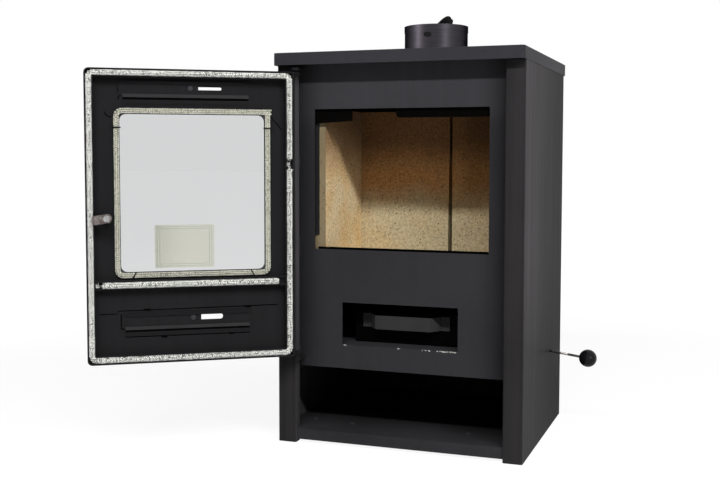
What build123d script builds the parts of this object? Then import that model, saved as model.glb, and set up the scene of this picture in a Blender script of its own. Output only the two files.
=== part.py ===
from build123d import *
import math
import os

# Steel wood stove with its door swung open, in millimetres.
# X runs to the viewer's right, Y to the back and Z up.
# The pieces are drawn with Y zero at the body's front plane. Each is then moved forward,
# so that the part's origin lies on the floor under the middle of the back panel.

# Clearances
SEAT_GAP = 0.3
SHAFT_GAP = 0.05

# Body shell
BODY_WIDTH = 475.0
BODY_DEPTH = 402.0
BODY_HEIGHT = 719.0
SHEET = 3.0
FOLD_RADIUS = 0.5
PILASTER_WIDTH = 36.5
PANEL_SETBACK = 18.0
PANEL_BELOW_ASH = 45.0

# Top plate, a pan turned down all round
TOP_LIP = 23.0
TOP_SIDE_OVERHANG = 0.5
TOP_FRONT_OVERHANG = 19.0
TOP_BACK_OVERHANG = 21.0
TOP_CORNER_RADIUS = 7.0
TOP_EDGE_RADIUS = 1.2

# Flue collar and its damper
COLLAR_RADIUS = 65.0
COLLAR_WALL = 2.2
COLLAR_HEIGHT = 70.0
COLLAR_Y = 260.0
SPIGOT_LENGTH = 12.0
SPIGOT_STEP = 0.7
DAMPER_DROP = 20.5
DAMPER_RADIUS = 50.0
DAMPER_THICKNESS = 2.0
DAMPER_TILT = 34.0
DAMPER_AXLE_RADIUS = 4.0
DAMPER_HEAD_WIDTH = 15.0
DAMPER_HEAD_HEIGHT = 9.0
DAMPER_HEAD_THICKNESS = 1.5
DAMPER_BUSH_RADIUS = 6.5
DAMPER_HANDLE_SETBACK = 16.0
DAMPER_HANDLE_LENGTH = 48.0
DAMPER_HANDLE_WIDTH = 8.0
DAMPER_HANDLE_THICKNESS = 3.0
DAMPER_HANDLE_LEAN = 12.0

# Openings in the front panel
FIRE_WIDTH = 338.0
FIRE_HEIGHT = 265.0
FIRE_DROP = 81.0
ASH_WIDTH = 226.0
ASH_HEIGHT = 81.0
OPENING_RADIUS = 2.0

# Inner steel box
CHAMBER_LEFT_LAP = 13.5
CHAMBER_RIGHT_LAP = 29.5
CHAMBER_DEPTH = 242.5
SMOKE_ROOM = 72.5
ASH_ROOM = 105.0
AIR_HOLE_DROP = 22.0
AIR_HOLE_RADIUS = 5.0
AIR_HOLE_COUNT = 7
AIR_HOLE_PITCH = 30.0

# Firebrick lining
BRICK_THICKNESS = 30.0
BRICK_HEIGHT = 340.2
BRICK_FRONT_SETBACK = 11.0
BRICK_SPLIT = 43.0
BRICK_JOINT_TOP = 5.2
BRICK_JOINT_BOTTOM = 9.3
STRIP_WIDTH = 17.9
STRIP_THICKNESS = 3.0
STRIP_RISE = 27.0
GUARD_LEFT = -165.5
GUARD_RIGHT = 168.0
GUARD_RISE = 3.6

# Cast grate in the firebox floor
GRATE_WIDTH = 200.0
GRATE_DEPTH = 140.0
GRATE_HEIGHT = 20.0
GRATE_SEAT = 10.0
GRATE_SLOT_WIDTH = 8.0
GRATE_SLOT_LENGTH = 112.0
GRATE_SLOT_COUNT = 11
GRATE_SLOT_PITCH = 16.0

# Baffle over the fire and the two brackets that carry its front
BAFFLE_THICKNESS = 4.0
BAFFLE_FRONT = 76.0
BAFFLE_LAP = 15.0
BRACKET_SETBACK = 3.0
BRACKET_LEDGE_WIDTH = 24.0
BRACKET_LEDGE_DEPTH = 85.0
LEFT_BRACKET_LENGTH = 86.9
LEFT_BRACKET_HEIGHT = 33.2
LEFT_BRACKET_END_HEIGHT = 28.1
RIGHT_BRACKET_LENGTH = 207.6
RIGHT_BRACKET_HEIGHT = 22.8
RIGHT_BRACKET_RADIUS = 8.0

# Wood compartment under the firebox
SHELF_THICKNESS = 2.5
SHELF_TOP = 26.5
SHELF_LIP_SETBACK = 6.0
SHELF_LIP_BOTTOM = 5.5
SHELF_SCREW_PLACES = [(-195.0, 84.0), (-113.0, 72.0), (119.4, 76.7)]
SHELF_SCREW_RADIUS = 2.5
SHELF_SCREW_HEAD_RADIUS = 4.5
SHELF_SCREW_HEAD_HEIGHT = 2.0
SHELF_SCREW_LENGTH = 12.0

# Rear air valve worked by the rod at the right side
INTAKE_LEFT = -30.0
INTAKE_SIZE = 40.0
SHUTTER_LENGTH = 140.0
SHUTTER_LAP = 8.0
SHUTTER_BACK_MARGIN = 10.0
SHUTTER_THICKNESS = 2.0
SHUTTER_TRAVEL = 45.0
GUIDE_THICKNESS = 2.7
GUIDE_LAP = 1.4
ROD_RADIUS = 2.5
ROD_SETBACK = 8.5
ROD_RISE = 7.4
ROD_BEND_OUT = 3.5
ROD_BEND_RADIUS = 12.0
ROD_GRIP = 12.0
BALL_RADIUS = 17.5
BALL_REACH = 75.9
BALL_DROP = 9.7

# Ash drawer
DRAWER_WIDTH = 206.0
DRAWER_LENGTH = 190.0
DRAWER_HEIGHT = 58.7
DRAWER_FRONT = 63.0
DRAWER_WALL = 1.5
DRAWER_EDGE_RADIUS = 3.0
HANDLE_REACH = 24.0
HANDLE_FRONT_WIDTH = 108.0
HANDLE_FOOT_SPREAD = 140.0
HANDLE_FOOT_LENGTH = 16.0
HANDLE_RISE = 29.7
HANDLE_HEIGHT = 26.0
HANDLE_SHEET = 1.5
DRAWER_RIVET_RADIUS = 2.0
DRAWER_RIVET_HEAD = 3.6

# Door, drawn closed and then swung open about its hinge
DOOR_WIDTH = 376.0
DOOR_LAP_BELOW = 27.0
DOOR_TOP_DROP = 14.0
DOOR_DEPTH = 23.0
DOOR_RIM_GAP = 3.0
DOOR_SHEET = 2.5
DOOR_EDGE_RADIUS = 2.0
DOOR_CORNER_RADIUS = 9.0
DOOR_ANGLE = 145.42
HINGE_OUT = 8.0
HINGE_FORWARD = 1.5

# Hinges: a lug at each end of the door, and a bracket with a pin on the body
LUG_THICKNESS = 5.0
LUG_RADIUS = 7.5
HINGE_PIN_RADIUS = 4.0
HINGE_BRACKET_THICKNESS = 5.0
HINGE_BRACKET_RADIUS = 8.0
LOWER_HINGE_SPACER = 6.2
UPPER_HINGE_SPACER = 4.0

# Door rope, its channel and the cross bar
ROPE_WIDTH = 10.3
ROPE_PANEL_GAP = 0.3
ROPE_RADIUS = 4.0
ROPE_CORNER_RADIUS = 3.0
CHANNEL_SHEET = 2.0
CHANNEL_WALL_FRONT = 4.0
CHANNEL_WEB_DEPTH = 13.0
BAR_ROPE_WIDTH = 12.0
BAR_DROP = 56.0
BAR_ROPE_LEFT = -156.8
BAR_ROPE_RIGHT = 158.2
FLANGE_THICKNESS = 1.5
FLANGE_LEFT = -158.8
FLANGE_RIGHT = 166.8
FLANGE_LEFT_RISE = 35.1
FLANGE_RIGHT_RISE = 27.6
FLANGE_STEP_X = 134.0
FLANGE_STEP_DROP = 5.0

# Window
WINDOW_X = -4.25
WINDOW_DROP = 80.6
WINDOW_WIDTH = 262.0
WINDOW_HEIGHT = 285.4
WINDOW_RADIUS = 12.0
GASKET_INSET = 1.2
GASKET_LAP = 10.9
GASKET_THICKNESS = 1.5
GASKET_RADIUS = 15.0
GLASS_THICKNESS = 4.0
GLASS_GAP = 0.1
LABEL_LEFT = -41.3
LABEL_RISE = 6.0
LABEL_WIDTH = 108.0
LABEL_HEIGHT = 79.0
LABEL_THICKNESS = 0.2
CLIP_WIDTH = 2.5
CLIP_THICKNESS = 1.0
CLIP_REACH = 13.0
CLIP_FOOT = 9.0
CLIP_SIDE_DROP = 35.0
CLIP_BOTTOM_SPREAD = 111.0
CLIP_BOTTOM_LEAN = 30.0

# Air sliders behind the door's face and their knobs
SLIDER_LEFT = -108.0
SLIDER_RIGHT = 128.0
SLIDER_HEIGHT = 24.0
SLIDER_THICKNESS = 2.0
SLIDER_TRAVEL = 45.0
SLIDER_HOLE_LEFT = -57.0
SLIDER_HOLE_RIGHT = -14.5
SLIDER_SCREW_RADIUS = 2.5
SLOT_END_GAP = 1.5
UPPER_SLIDER_DROP = 47.1
UPPER_SLOT_RISE = 14.1
UPPER_SLOT_HEIGHT = 5.4
LOWER_SLIDER_RISE = 62.4
LOWER_SLOT_RISE = 15.9
LOWER_SLOT_HEIGHT = 9.9
LOWER_SLIDER_SHIFT = -2.0
RAIL_LEFT = -106.3
RAIL_RIGHT = 120.8
RAIL_SHEET = 1.5
RAIL_LAP = 3.0
RAIL_FLANGE = 12.0
RAIL_TOP_RISE = 2.7
KNOB_RADIUS = 10.0
KNOB_LENGTH = 14.0
KNOB_NECK_RADIUS = 6.0
KNOB_NECK_LENGTH = 2.0
SCREW_HEAD_RADIUS = 4.5
SCREW_HEAD_HEIGHT = 1.8

# Door latch
LATCH_X = 152.0
LATCH_RISE = 121.0
SPINDLE_RADIUS = 6.0
SPINDLE_END_RADIUS = 4.0
BUSH_RADIUS = 10.0
BUSH_OUT = 15.7
BUSH_IN = 7.0
TONGUE_HEIGHT = 16.0
TONGUE_THICKNESS = 4.0
TONGUE_REACH = 25.2
TONGUE_TAIL = 9.5
TONGUE_TILT = 8.0
NUT_FLATS = 11.0
NUT_HEIGHT = 4.0
GRIP_HUB_RADIUS = 11.0
GRIP_HUB_LENGTH = 20.0
GRIP_RADIUS = 8.5
GRIP_LENGTH = 105.0

# Places worked out from the sizes above
half = BODY_WIDTH / 2
inner_half = half - SHEET
pilaster_edge = half - PILASTER_WIDTH
panel_back = PANEL_SETBACK + SHEET
back_inner = BODY_DEPTH - SHEET
top_z = BODY_HEIGHT + TOP_LIP
pan_under = top_z - SHEET
roof_top = BODY_HEIGHT
roof_under = roof_top - SHEET
fire_top = BODY_HEIGHT - FIRE_DROP
fire_bottom = fire_top - FIRE_HEIGHT
chamber_left = -FIRE_WIDTH / 2 - CHAMBER_LEFT_LAP
chamber_right = FIRE_WIDTH / 2 + CHAMBER_RIGHT_LAP
chamber_back = panel_back + CHAMBER_DEPTH
ledge_top = roof_under - SMOKE_ROOM
ledge_z = ledge_top - SHEET
brick_top = ledge_z - SEAT_GAP
grate_floor_top = brick_top - BRICK_HEIGHT
grate_floor_z = grate_floor_top - SHEET
ash_floor_top = grate_floor_z - ASH_ROOM
ash_top = ash_floor_top + ASH_HEIGHT
ceiling_z = ash_floor_top - PANEL_BELOW_ASH
ceiling_top = ceiling_z + SHEET
air_hole_z = grate_floor_z - AIR_HOLE_DROP
brick_front = panel_back + BRICK_FRONT_SETBACK
strip_back = brick_front - SEAT_GAP
strip_front = strip_back - STRIP_THICKNESS
brick_left = chamber_left + SEAT_GAP
brick_right = chamber_right - SEAT_GAP
back_brick_face = chamber_back - SEAT_GAP - BRICK_THICKNESS
collar_top = top_z + COLLAR_HEIGHT
collar_bore = COLLAR_RADIUS - COLLAR_WALL
collar_body_radius = COLLAR_RADIUS - SPIGOT_STEP
damper_z = collar_top - DAMPER_DROP
drawer_bottom = ash_floor_top + SEAT_GAP
drawer_top = drawer_bottom + DRAWER_HEIGHT
rail_clear_y = chamber_back + SHEET
intake_y = rail_clear_y + GUIDE_THICKNESS + SEAT_GAP + SHUTTER_BACK_MARGIN
shutter_z = ceiling_top + SEAT_GAP
air_rod_y = rail_clear_y + ROD_SETBACK
air_rod_z = ceiling_top + ROD_RISE
ball_x = half + BALL_REACH
ball_z = air_rod_z - BALL_DROP
door_half = DOOR_WIDTH / 2
door_bottom = ceiling_z + DOOR_LAP_BELOW
door_top = BODY_HEIGHT - DOOR_TOP_DROP
door_rim_y = PANEL_SETBACK - DOOR_RIM_GAP
door_face_y = door_rim_y - DOOR_DEPTH
door_inside_y = door_face_y + DOOR_SHEET
hinge_x = -door_half - HINGE_OUT
hinge_y = door_face_y - HINGE_FORWARD
bar_z = fire_bottom - BAR_DROP
window_z = door_top - WINDOW_DROP - WINDOW_HEIGHT / 2
window_bottom = window_z - WINDOW_HEIGHT / 2
latch_z = bar_z + LATCH_RISE
upper_slider_z = door_top - UPPER_SLIDER_DROP
lower_slider_z = door_bottom + LOWER_SLIDER_RISE
upper_slot_z = upper_slider_z + UPPER_SLOT_RISE
lower_slot_z = lower_slider_z + LOWER_SLOT_RISE
rim_inner = door_half - DOOR_SHEET
inside_radius = DOOR_CORNER_RADIUS - DOOR_SHEET
rope_outer = rim_inner - SEAT_GAP
rope_inner = rope_outer - ROPE_WIDTH
channel_wall = rope_inner - SEAT_GAP
channel_inner = channel_wall - CHANNEL_SHEET
rope_face_y = PANEL_SETBACK - ROPE_PANEL_GAP
channel_web_y = rope_face_y - CHANNEL_WEB_DEPTH
channel_wall_y = door_rim_y - CHANNEL_WALL_FRONT
grate_y = (brick_front + back_brick_face) / 2
floor_brick_y0 = brick_front
floor_brick_y1 = back_brick_face - SEAT_GAP
bracket_y = panel_back + BRACKET_SETBACK
damper_tail = collar_body_radius + DAMPER_HANDLE_SETBACK + DAMPER_HANDLE_THICKNESS
shutter_left = INTAKE_LEFT - SHUTTER_LAP
shutter_right = shutter_left + SHUTTER_LENGTH
rod_bend_x = half + ROD_BEND_OUT
rod_slope = math.atan2(air_rod_z - ball_z, ball_x - rod_bend_x)
handle_z = drawer_bottom + HANDLE_RISE
rivet_z = handle_z + HANDLE_HEIGHT / 2
rivet_x = HANDLE_FOOT_SPREAD / 2 + HANDLE_FOOT_LENGTH / 2
rivet_places = (-rivet_x, rivet_x)
door_middle_z = (door_bottom + door_top) / 2
door_height = door_top - door_bottom
bar_wall_reach = BAR_ROPE_WIDTH / 2 + SEAT_GAP + CHANNEL_SHEET
glass_y0 = door_inside_y + GASKET_THICKNESS
glass_y1 = glass_y0 + GLASS_THICKNESS
gasket_y1 = glass_y1 + GASKET_THICKNESS
glass_margin = GASKET_LAP - GASKET_THICKNESS
slider_y0 = door_inside_y + SEAT_GAP
slider_y1 = slider_y0 + SLIDER_THICKNESS
rail_lip_y = slider_y1 + SEAT_GAP
rail_y1 = rail_lip_y + RAIL_SHEET
bush_y0 = door_face_y - BUSH_OUT
bush_y1 = door_rim_y + BUSH_IN
tongue_y = bush_y1 + SEAT_GAP
tongue_y1 = tongue_y + TONGUE_THICKNESS
spindle_end = tongue_y1 + NUT_HEIGHT
hub_y = bush_y0 - SEAT_GAP
lower_bracket_top = door_bottom - LOWER_HINGE_SPACER - SEAT_GAP
upper_bracket_bottom = door_top + UPPER_HINGE_SPACER
origin_y = BODY_DEPTH - SHEET / 2


def block(x0, x1, y0, y1, z0, z1):
    return Pos((x0 + x1) / 2, (y0 + y1) / 2, (z0 + z1) / 2) * Box(x1 - x0, y1 - y0, z1 - z0)


def rod_x(y, z, radius, x0, x1):
    return Pos((x0 + x1) / 2, y, z) * Rot(0, 90, 0) * Cylinder(radius, x1 - x0)


def rod_y(x, z, radius, y0, y1):
    return Pos(x, (y0 + y1) / 2, z) * Rot(90, 0, 0) * Cylinder(radius, y1 - y0)


def rod_z(x, y, radius, z0, z1):
    return Pos(x, y, (z0 + z1) / 2) * Cylinder(radius, z1 - z0)


def raised(sketch, z0, z1):
    return extrude(Pos(0, 0, z0) * sketch, z1 - z0, dir=(0, 0, 1))


def facing(sketch, y0, y1):
    return extrude(Plane.XZ.offset(-y0) * sketch, y1 - y0, dir=(0, 1, 0))


def along_x(sketch, x0, x1):
    return extrude(Plane.YZ.offset(x0) * sketch, x1 - x0, dir=(1, 0, 0))


def outline(points):
    return make_face(Polyline(*points, close=True))


def rounded_block(x0, x1, z0, z1, radius, y0, y1):
    sketch = Pos((x0 + x1) / 2, (z0 + z1) / 2) * RectangleRounded(x1 - x0, z1 - z0, radius)
    return facing(sketch, y0, y1)


def slot(x0, x1, z, height, y0, y1):
    return facing(Pos((x0 + x1) / 2, z) * SlotOverall(x1 - x0, height), y0, y1)


# A sheet folded along a path, with its thickness to the left of the path
def folded(path, thickness, inside_radius=0.0):
    count = len(path)
    normals = []
    for (ax, ay), (bx, by) in zip(path, path[1:]):
        run = math.hypot(bx - ax, by - ay)
        normals.append((-(by - ay) / run, (bx - ax) / run))
    offset = []
    turns = []
    for i, (x, y) in enumerate(path):
        before = normals[max(i - 1, 0)]
        after = normals[min(i, count - 2)]
        share = 1 + before[0] * after[0] + before[1] * after[1]
        offset.append((x + thickness * (before[0] + after[0]) / share,
                       y + thickness * (before[1] + after[1]) / share))
        turns.append(before[0] * after[1] - before[1] * after[0])
    face = outline(path + offset[::-1])
    if inside_radius > 0:
        for here, there, turn in list(zip(path, offset, turns))[1:-1]:
            outer, inner = (here, there) if turn > 0 else (there, here)
            for place, radius in ((outer, inside_radius + thickness), (inner, inside_radius)):
                corner = face.vertices().sort_by_distance(Vector(place[0], place[1], 0))[0]
                face = fillet(corner, radius)
    return face


# Body shell

def side_panel():
    path = [(pilaster_edge, PANEL_SETBACK), (pilaster_edge, 0), (half, 0), (half, BODY_DEPTH)]
    return raised(folded(path, SHEET, FOLD_RADIUS), 0, BODY_HEIGHT)


def side_panel_right():
    return side_panel() - rod_x(air_rod_y, air_rod_z, ROD_RADIUS + 2 * SHAFT_GAP, inner_half - 1, half + 1)


def side_panel_left():
    return mirror(side_panel(), about=Plane.YZ)


def front_panel():
    panel = block(-inner_half, inner_half, PANEL_SETBACK, panel_back, ceiling_z, pan_under)
    fire = rounded_block(-FIRE_WIDTH / 2, FIRE_WIDTH / 2, fire_bottom, fire_top, OPENING_RADIUS,
                         PANEL_SETBACK - 1, panel_back + 1)
    ash = rounded_block(-ASH_WIDTH / 2, ASH_WIDTH / 2, ash_floor_top, ash_top, OPENING_RADIUS,
                        PANEL_SETBACK - 1, panel_back + 1)
    return panel - fire - ash


def back_panel():
    return block(-inner_half, inner_half, back_inner, BODY_DEPTH, 0, pan_under)


def top_plate():
    width = BODY_WIDTH + 2 * TOP_SIDE_OVERHANG
    depth = BODY_DEPTH + TOP_FRONT_OVERHANG + TOP_BACK_OVERHANG
    middle = (BODY_DEPTH + TOP_BACK_OVERHANG - TOP_FRONT_OVERHANG) / 2
    outer = Pos(0, middle) * RectangleRounded(width, depth, TOP_CORNER_RADIUS)
    inner = Pos(0, middle) * RectangleRounded(width - 2 * SHEET, depth - 2 * SHEET,
                                              TOP_CORNER_RADIUS - SHEET)
    pan = raised(outer, BODY_HEIGHT, top_z)
    pan = fillet(pan.faces().sort_by(Axis.Z)[-1].edges(), TOP_EDGE_RADIUS)
    pan -= raised(inner, BODY_HEIGHT - 1, pan_under)
    return pan - rod_z(0, COLLAR_Y, COLLAR_RADIUS + SEAT_GAP, pan_under - 1, top_z + 1)


def roof_plate():
    roof = block(-inner_half, inner_half, panel_back, back_inner, roof_under, roof_top)
    return roof - rod_z(0, COLLAR_Y, collar_bore, roof_under - 1, roof_top + 1)


# Inner steel box

def firebox_side_left():
    return block(chamber_left - SHEET, chamber_left, panel_back, back_inner, ceiling_top, roof_under)


def firebox_side_right():
    outer = chamber_right + SHEET
    side = block(chamber_right, outer, panel_back, back_inner, ceiling_top, roof_under)
    return side - rod_x(air_rod_y, air_rod_z, 2 * ROD_RADIUS, chamber_right - 1, outer + 1)


def firebox_back():
    sheet = [(chamber_back, ceiling_top), (chamber_back, ledge_top), (back_inner, ledge_top),
             (back_inner, ledge_z), (rail_clear_y, ledge_z), (rail_clear_y, ceiling_top)]
    back = along_x(outline(sheet), chamber_left, chamber_right)
    first = -AIR_HOLE_PITCH * (AIR_HOLE_COUNT - 1) / 2
    for i in range(AIR_HOLE_COUNT):
        back -= rod_y(first + i * AIR_HOLE_PITCH, air_hole_z, AIR_HOLE_RADIUS,
                      chamber_back - 1, rail_clear_y + 1)
    return back


def ash_floor():
    return block(chamber_left, chamber_right, panel_back, chamber_back,
                 ash_floor_top - SHEET, ash_floor_top)


def firebox_floor():
    floor = block(chamber_left, chamber_right, panel_back, chamber_back, grate_floor_z, grate_floor_top)
    wide = GRATE_WIDTH / 2 - GRATE_SEAT
    deep = GRATE_DEPTH / 2 - GRATE_SEAT
    return floor - block(-wide, wide, grate_y - deep, grate_y + deep, grate_floor_z - 1, grate_floor_top + 1)


def grate():
    deep = GRATE_DEPTH / 2
    plate = block(-GRATE_WIDTH / 2, GRATE_WIDTH / 2, grate_y - deep, grate_y + deep,
                  grate_floor_top, grate_floor_top + GRATE_HEIGHT)
    first = -GRATE_SLOT_PITCH * (GRATE_SLOT_COUNT - 1) / 2
    for i in range(GRATE_SLOT_COUNT):
        gap = Pos(first + i * GRATE_SLOT_PITCH, grate_y) * Rot(0, 0, 90)
        gap = gap * SlotOverall(GRATE_SLOT_LENGTH, GRATE_SLOT_WIDTH)
        plate -= raised(gap, grate_floor_top - 1, grate_floor_top + GRATE_HEIGHT + 1)
    return plate


# Firebrick lining

def side_brick(x0):
    return block(x0, x0 + BRICK_THICKNESS, brick_front, back_brick_face - SEAT_GAP,
                 grate_floor_top, brick_top)


def back_brick_left():
    points = [(brick_left, grate_floor_top), (BRICK_SPLIT - BRICK_JOINT_BOTTOM, grate_floor_top),
              (BRICK_SPLIT - BRICK_JOINT_TOP, brick_top), (brick_left, brick_top)]
    return facing(outline(points), back_brick_face, back_brick_face + BRICK_THICKNESS)


def back_brick_right():
    return block(BRICK_SPLIT, brick_right, back_brick_face, back_brick_face + BRICK_THICKNESS,
                 grate_floor_top, brick_top)


def floor_bricks_sides():
    side = GRATE_WIDTH / 2 + SEAT_GAP
    reach = BRICK_THICKNESS + SEAT_GAP
    top = grate_floor_top + BRICK_THICKNESS
    left = block(brick_left + reach, -side, floor_brick_y0, floor_brick_y1, grate_floor_top, top)
    right = block(side, brick_right - reach, floor_brick_y0, floor_brick_y1, grate_floor_top, top)
    return Compound(children=[left, right])


def floor_bricks_ends():
    wide = GRATE_WIDTH / 2
    deep = GRATE_DEPTH / 2 + SEAT_GAP
    top = grate_floor_top + BRICK_THICKNESS
    front = block(-wide, wide, floor_brick_y0, grate_y - deep, grate_floor_top, top)
    rear = block(-wide, wide, grate_y + deep, floor_brick_y1, grate_floor_top, top)
    return Compound(children=[front, rear])


def retaining_strips():
    strips = []
    for x in (chamber_left, chamber_right - STRIP_WIDTH):
        strips.append(block(x, x + STRIP_WIDTH, strip_front, strip_back, fire_bottom + STRIP_RISE, brick_top))
    return Compound(children=strips)


def log_guard():
    return block(GUARD_LEFT, GUARD_RIGHT, strip_front, strip_back, grate_floor_top, fire_bottom + GUARD_RISE)


# Baffle

def bracket_ledge(x0):
    return block(x0, x0 + BRACKET_LEDGE_WIDTH, bracket_y, bracket_y + BRACKET_LEDGE_DEPTH, ledge_z, ledge_top)


def baffle_bracket_left():
    end = chamber_left + LEFT_BRACKET_LENGTH
    points = [(chamber_left, ledge_top - LEFT_BRACKET_HEIGHT), (end, ledge_top - LEFT_BRACKET_END_HEIGHT),
              (end, ledge_top), (chamber_left, ledge_top)]
    return facing(outline(points), bracket_y, bracket_y + SHEET) + bracket_ledge(chamber_left)


def baffle_bracket_right():
    end = chamber_right - RIGHT_BRACKET_LENGTH
    low = ledge_top - RIGHT_BRACKET_HEIGHT
    face = outline([(end, low), (chamber_right, low), (chamber_right, ledge_top), (end, ledge_top)])
    corner = face.vertices().sort_by_distance(Vector(end, low, 0))[0]
    face = fillet(corner, RIGHT_BRACKET_RADIUS)
    ledge = bracket_ledge(chamber_right - BRACKET_LEDGE_WIDTH)
    return facing(face, bracket_y, bracket_y + SHEET) + ledge


def baffle_plate():
    return block(brick_left, brick_right, BAFFLE_FRONT, chamber_back + BAFFLE_LAP,
                 ledge_top, ledge_top + BAFFLE_THICKNESS)


# Wood compartment

def compartment_ceiling():
    plate = block(-inner_half, inner_half, panel_back, back_inner, ceiling_z, ceiling_top)
    return plate - block(INTAKE_LEFT, INTAKE_LEFT + INTAKE_SIZE, intake_y, intake_y + INTAKE_SIZE,
                         ceiling_z - 1, ceiling_top + 1)


def compartment_shelf():
    plate = block(-inner_half, inner_half, panel_back, back_inner, SHELF_TOP - SHELF_THICKNESS, SHELF_TOP)
    plate += block(-pilaster_edge, pilaster_edge, SHELF_LIP_SETBACK, panel_back,
                   SHELF_TOP - SHELF_THICKNESS, SHELF_TOP)
    plate += block(-pilaster_edge, pilaster_edge, SHELF_LIP_SETBACK, SHELF_LIP_SETBACK + SHELF_THICKNESS,
                   SHELF_LIP_BOTTOM, SHELF_TOP)
    plate += block(-inner_half, inner_half, back_inner - SHELF_THICKNESS, back_inner,
                   SHELF_LIP_BOTTOM, SHELF_TOP)
    for x, y in SHELF_SCREW_PLACES:
        plate -= rod_z(x, y, SHELF_SCREW_RADIUS + SHAFT_GAP, SHELF_TOP - 2 * SHELF_THICKNESS, SHELF_TOP + 1)
    return plate


def shelf_screws():
    screws = []
    for x, y in SHELF_SCREW_PLACES:
        head = rod_z(x, y, SHELF_SCREW_HEAD_RADIUS, SHELF_TOP, SHELF_TOP + SHELF_SCREW_HEAD_HEIGHT)
        head = fillet(head.faces().sort_by(Axis.Z)[-1].edges(), SHELF_SCREW_HEAD_HEIGHT * 0.6)
        screws.append(head + rod_z(x, y, SHELF_SCREW_RADIUS, SHELF_TOP - SHELF_SCREW_LENGTH, SHELF_TOP))
    return Compound(children=screws)


# Flue collar and damper

def flue_collar():
    spigot_z = collar_top - SPIGOT_LENGTH
    collar = rod_z(0, COLLAR_Y, collar_body_radius, roof_top, spigot_z)
    collar += rod_z(0, COLLAR_Y, COLLAR_RADIUS, spigot_z, collar_top)
    collar -= rod_z(0, COLLAR_Y, collar_bore, roof_top - 1, collar_top + 1)
    reach = COLLAR_RADIUS + 5
    return collar - rod_y(0, damper_z, DAMPER_AXLE_RADIUS + SHAFT_GAP, COLLAR_Y - reach, COLLAR_Y + reach)


def tilted(shape):
    return Pos(0, COLLAR_Y, damper_z) * Rot(0, DAMPER_TILT, 0) * shape


def damper_disc():
    return tilted(Rot(0, 90, 0) * Cylinder(DAMPER_RADIUS, DAMPER_THICKNESS))


def damper_axle():
    head_y = -collar_body_radius - SEAT_GAP
    axle = rod_y(0, 0, DAMPER_AXLE_RADIUS, head_y, damper_tail + 2)
    head = SlotOverall(DAMPER_HEAD_WIDTH, DAMPER_HEAD_HEIGHT)
    head = facing(head, head_y - DAMPER_HEAD_THICKNESS, head_y)
    cut = DAMPER_THICKNESS / 2 + SHAFT_GAP
    seat = block(-cut, cut, -DAMPER_RADIUS - SEAT_GAP, DAMPER_RADIUS + SEAT_GAP,
                 -2 * DAMPER_AXLE_RADIUS, 2 * DAMPER_AXLE_RADIUS)
    return tilted(axle - seat) + Pos(0, COLLAR_Y, damper_z) * head


def damper_handle():
    bush_y = collar_body_radius + 2
    hub = rod_y(0, 0, DAMPER_BUSH_RADIUS, bush_y, damper_tail)
    bar = block(-DAMPER_HANDLE_WIDTH / 2, DAMPER_HANDLE_WIDTH / 2,
                damper_tail - DAMPER_HANDLE_THICKNESS, damper_tail, 0,
                DAMPER_HANDLE_LENGTH - DAMPER_HANDLE_WIDTH / 2)
    tip = rod_y(0, DAMPER_HANDLE_LENGTH - DAMPER_HANDLE_WIDTH / 2, DAMPER_HANDLE_WIDTH / 2,
                damper_tail - DAMPER_HANDLE_THICKNESS, damper_tail)
    bore = rod_y(0, 0, DAMPER_AXLE_RADIUS + SHAFT_GAP, bush_y - 1, damper_tail + 1)
    handle = hub + bar + tip - bore
    return Pos(0, COLLAR_Y, damper_z) * Rot(0, DAMPER_HANDLE_LEAN, 0) * handle


# Rear air valve

def shutter_guides():
    low = ceiling_top
    front_lip = rail_clear_y + GUIDE_THICKNESS + SEAT_GAP + GUIDE_LAP
    lip_z = shutter_z + SHUTTER_THICKNESS + SEAT_GAP
    left = INTAKE_LEFT - SHUTTER_LAP - 2
    right = left + SHUTTER_LENGTH + SHUTTER_TRAVEL + 4
    front = block(left, right, rail_clear_y, rail_clear_y + GUIDE_THICKNESS, low, lip_z + 2)
    front += block(left, right, rail_clear_y, front_lip, lip_z, lip_z + 2)
    shutter_rear = intake_y + INTAKE_SIZE + SHUTTER_BACK_MARGIN
    rear = block(left, right, shutter_rear + SEAT_GAP, shutter_rear + SEAT_GAP + GUIDE_THICKNESS, low, lip_z + 2)
    rear += block(left, right, shutter_rear - 3 * GUIDE_LAP, shutter_rear + SEAT_GAP + GUIDE_THICKNESS,
                  lip_z, lip_z + 2)
    return Compound(children=[front, rear])


def air_shutter():
    plate = block(shutter_left, shutter_right, rail_clear_y + GUIDE_THICKNESS + SEAT_GAP,
                  intake_y + INTAKE_SIZE + SHUTTER_BACK_MARGIN, shutter_z, shutter_z + SHUTTER_THICKNESS)
    lip_edge = rail_clear_y + GUIDE_THICKNESS + SEAT_GAP + GUIDE_LAP + SEAT_GAP
    tab = block(shutter_right - SHUTTER_THICKNESS, shutter_right, lip_edge, air_rod_y + 4 * ROD_RADIUS,
                shutter_z, air_rod_z + 2 * ROD_RADIUS)
    return plate + tab - rod_x(air_rod_y, air_rod_z, ROD_RADIUS, shutter_right - 5, shutter_right + 5)


def air_rod():
    run = ball_x - rod_bend_x
    reach = (run - BALL_RADIUS + ROD_GRIP) / run
    end = (rod_bend_x + run * reach, air_rod_y, air_rod_z + (ball_z - air_rod_z) * reach)
    start = (shutter_right - 3 * SHUTTER_THICKNESS, air_rod_y, air_rod_z)
    path = FilletPolyline(start, (rod_bend_x, air_rod_y, air_rod_z), end, radius=ROD_BEND_RADIUS)
    return sweep(Plane(path @ 0, z_dir=path % 0) * Circle(ROD_RADIUS), path=path)


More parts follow.
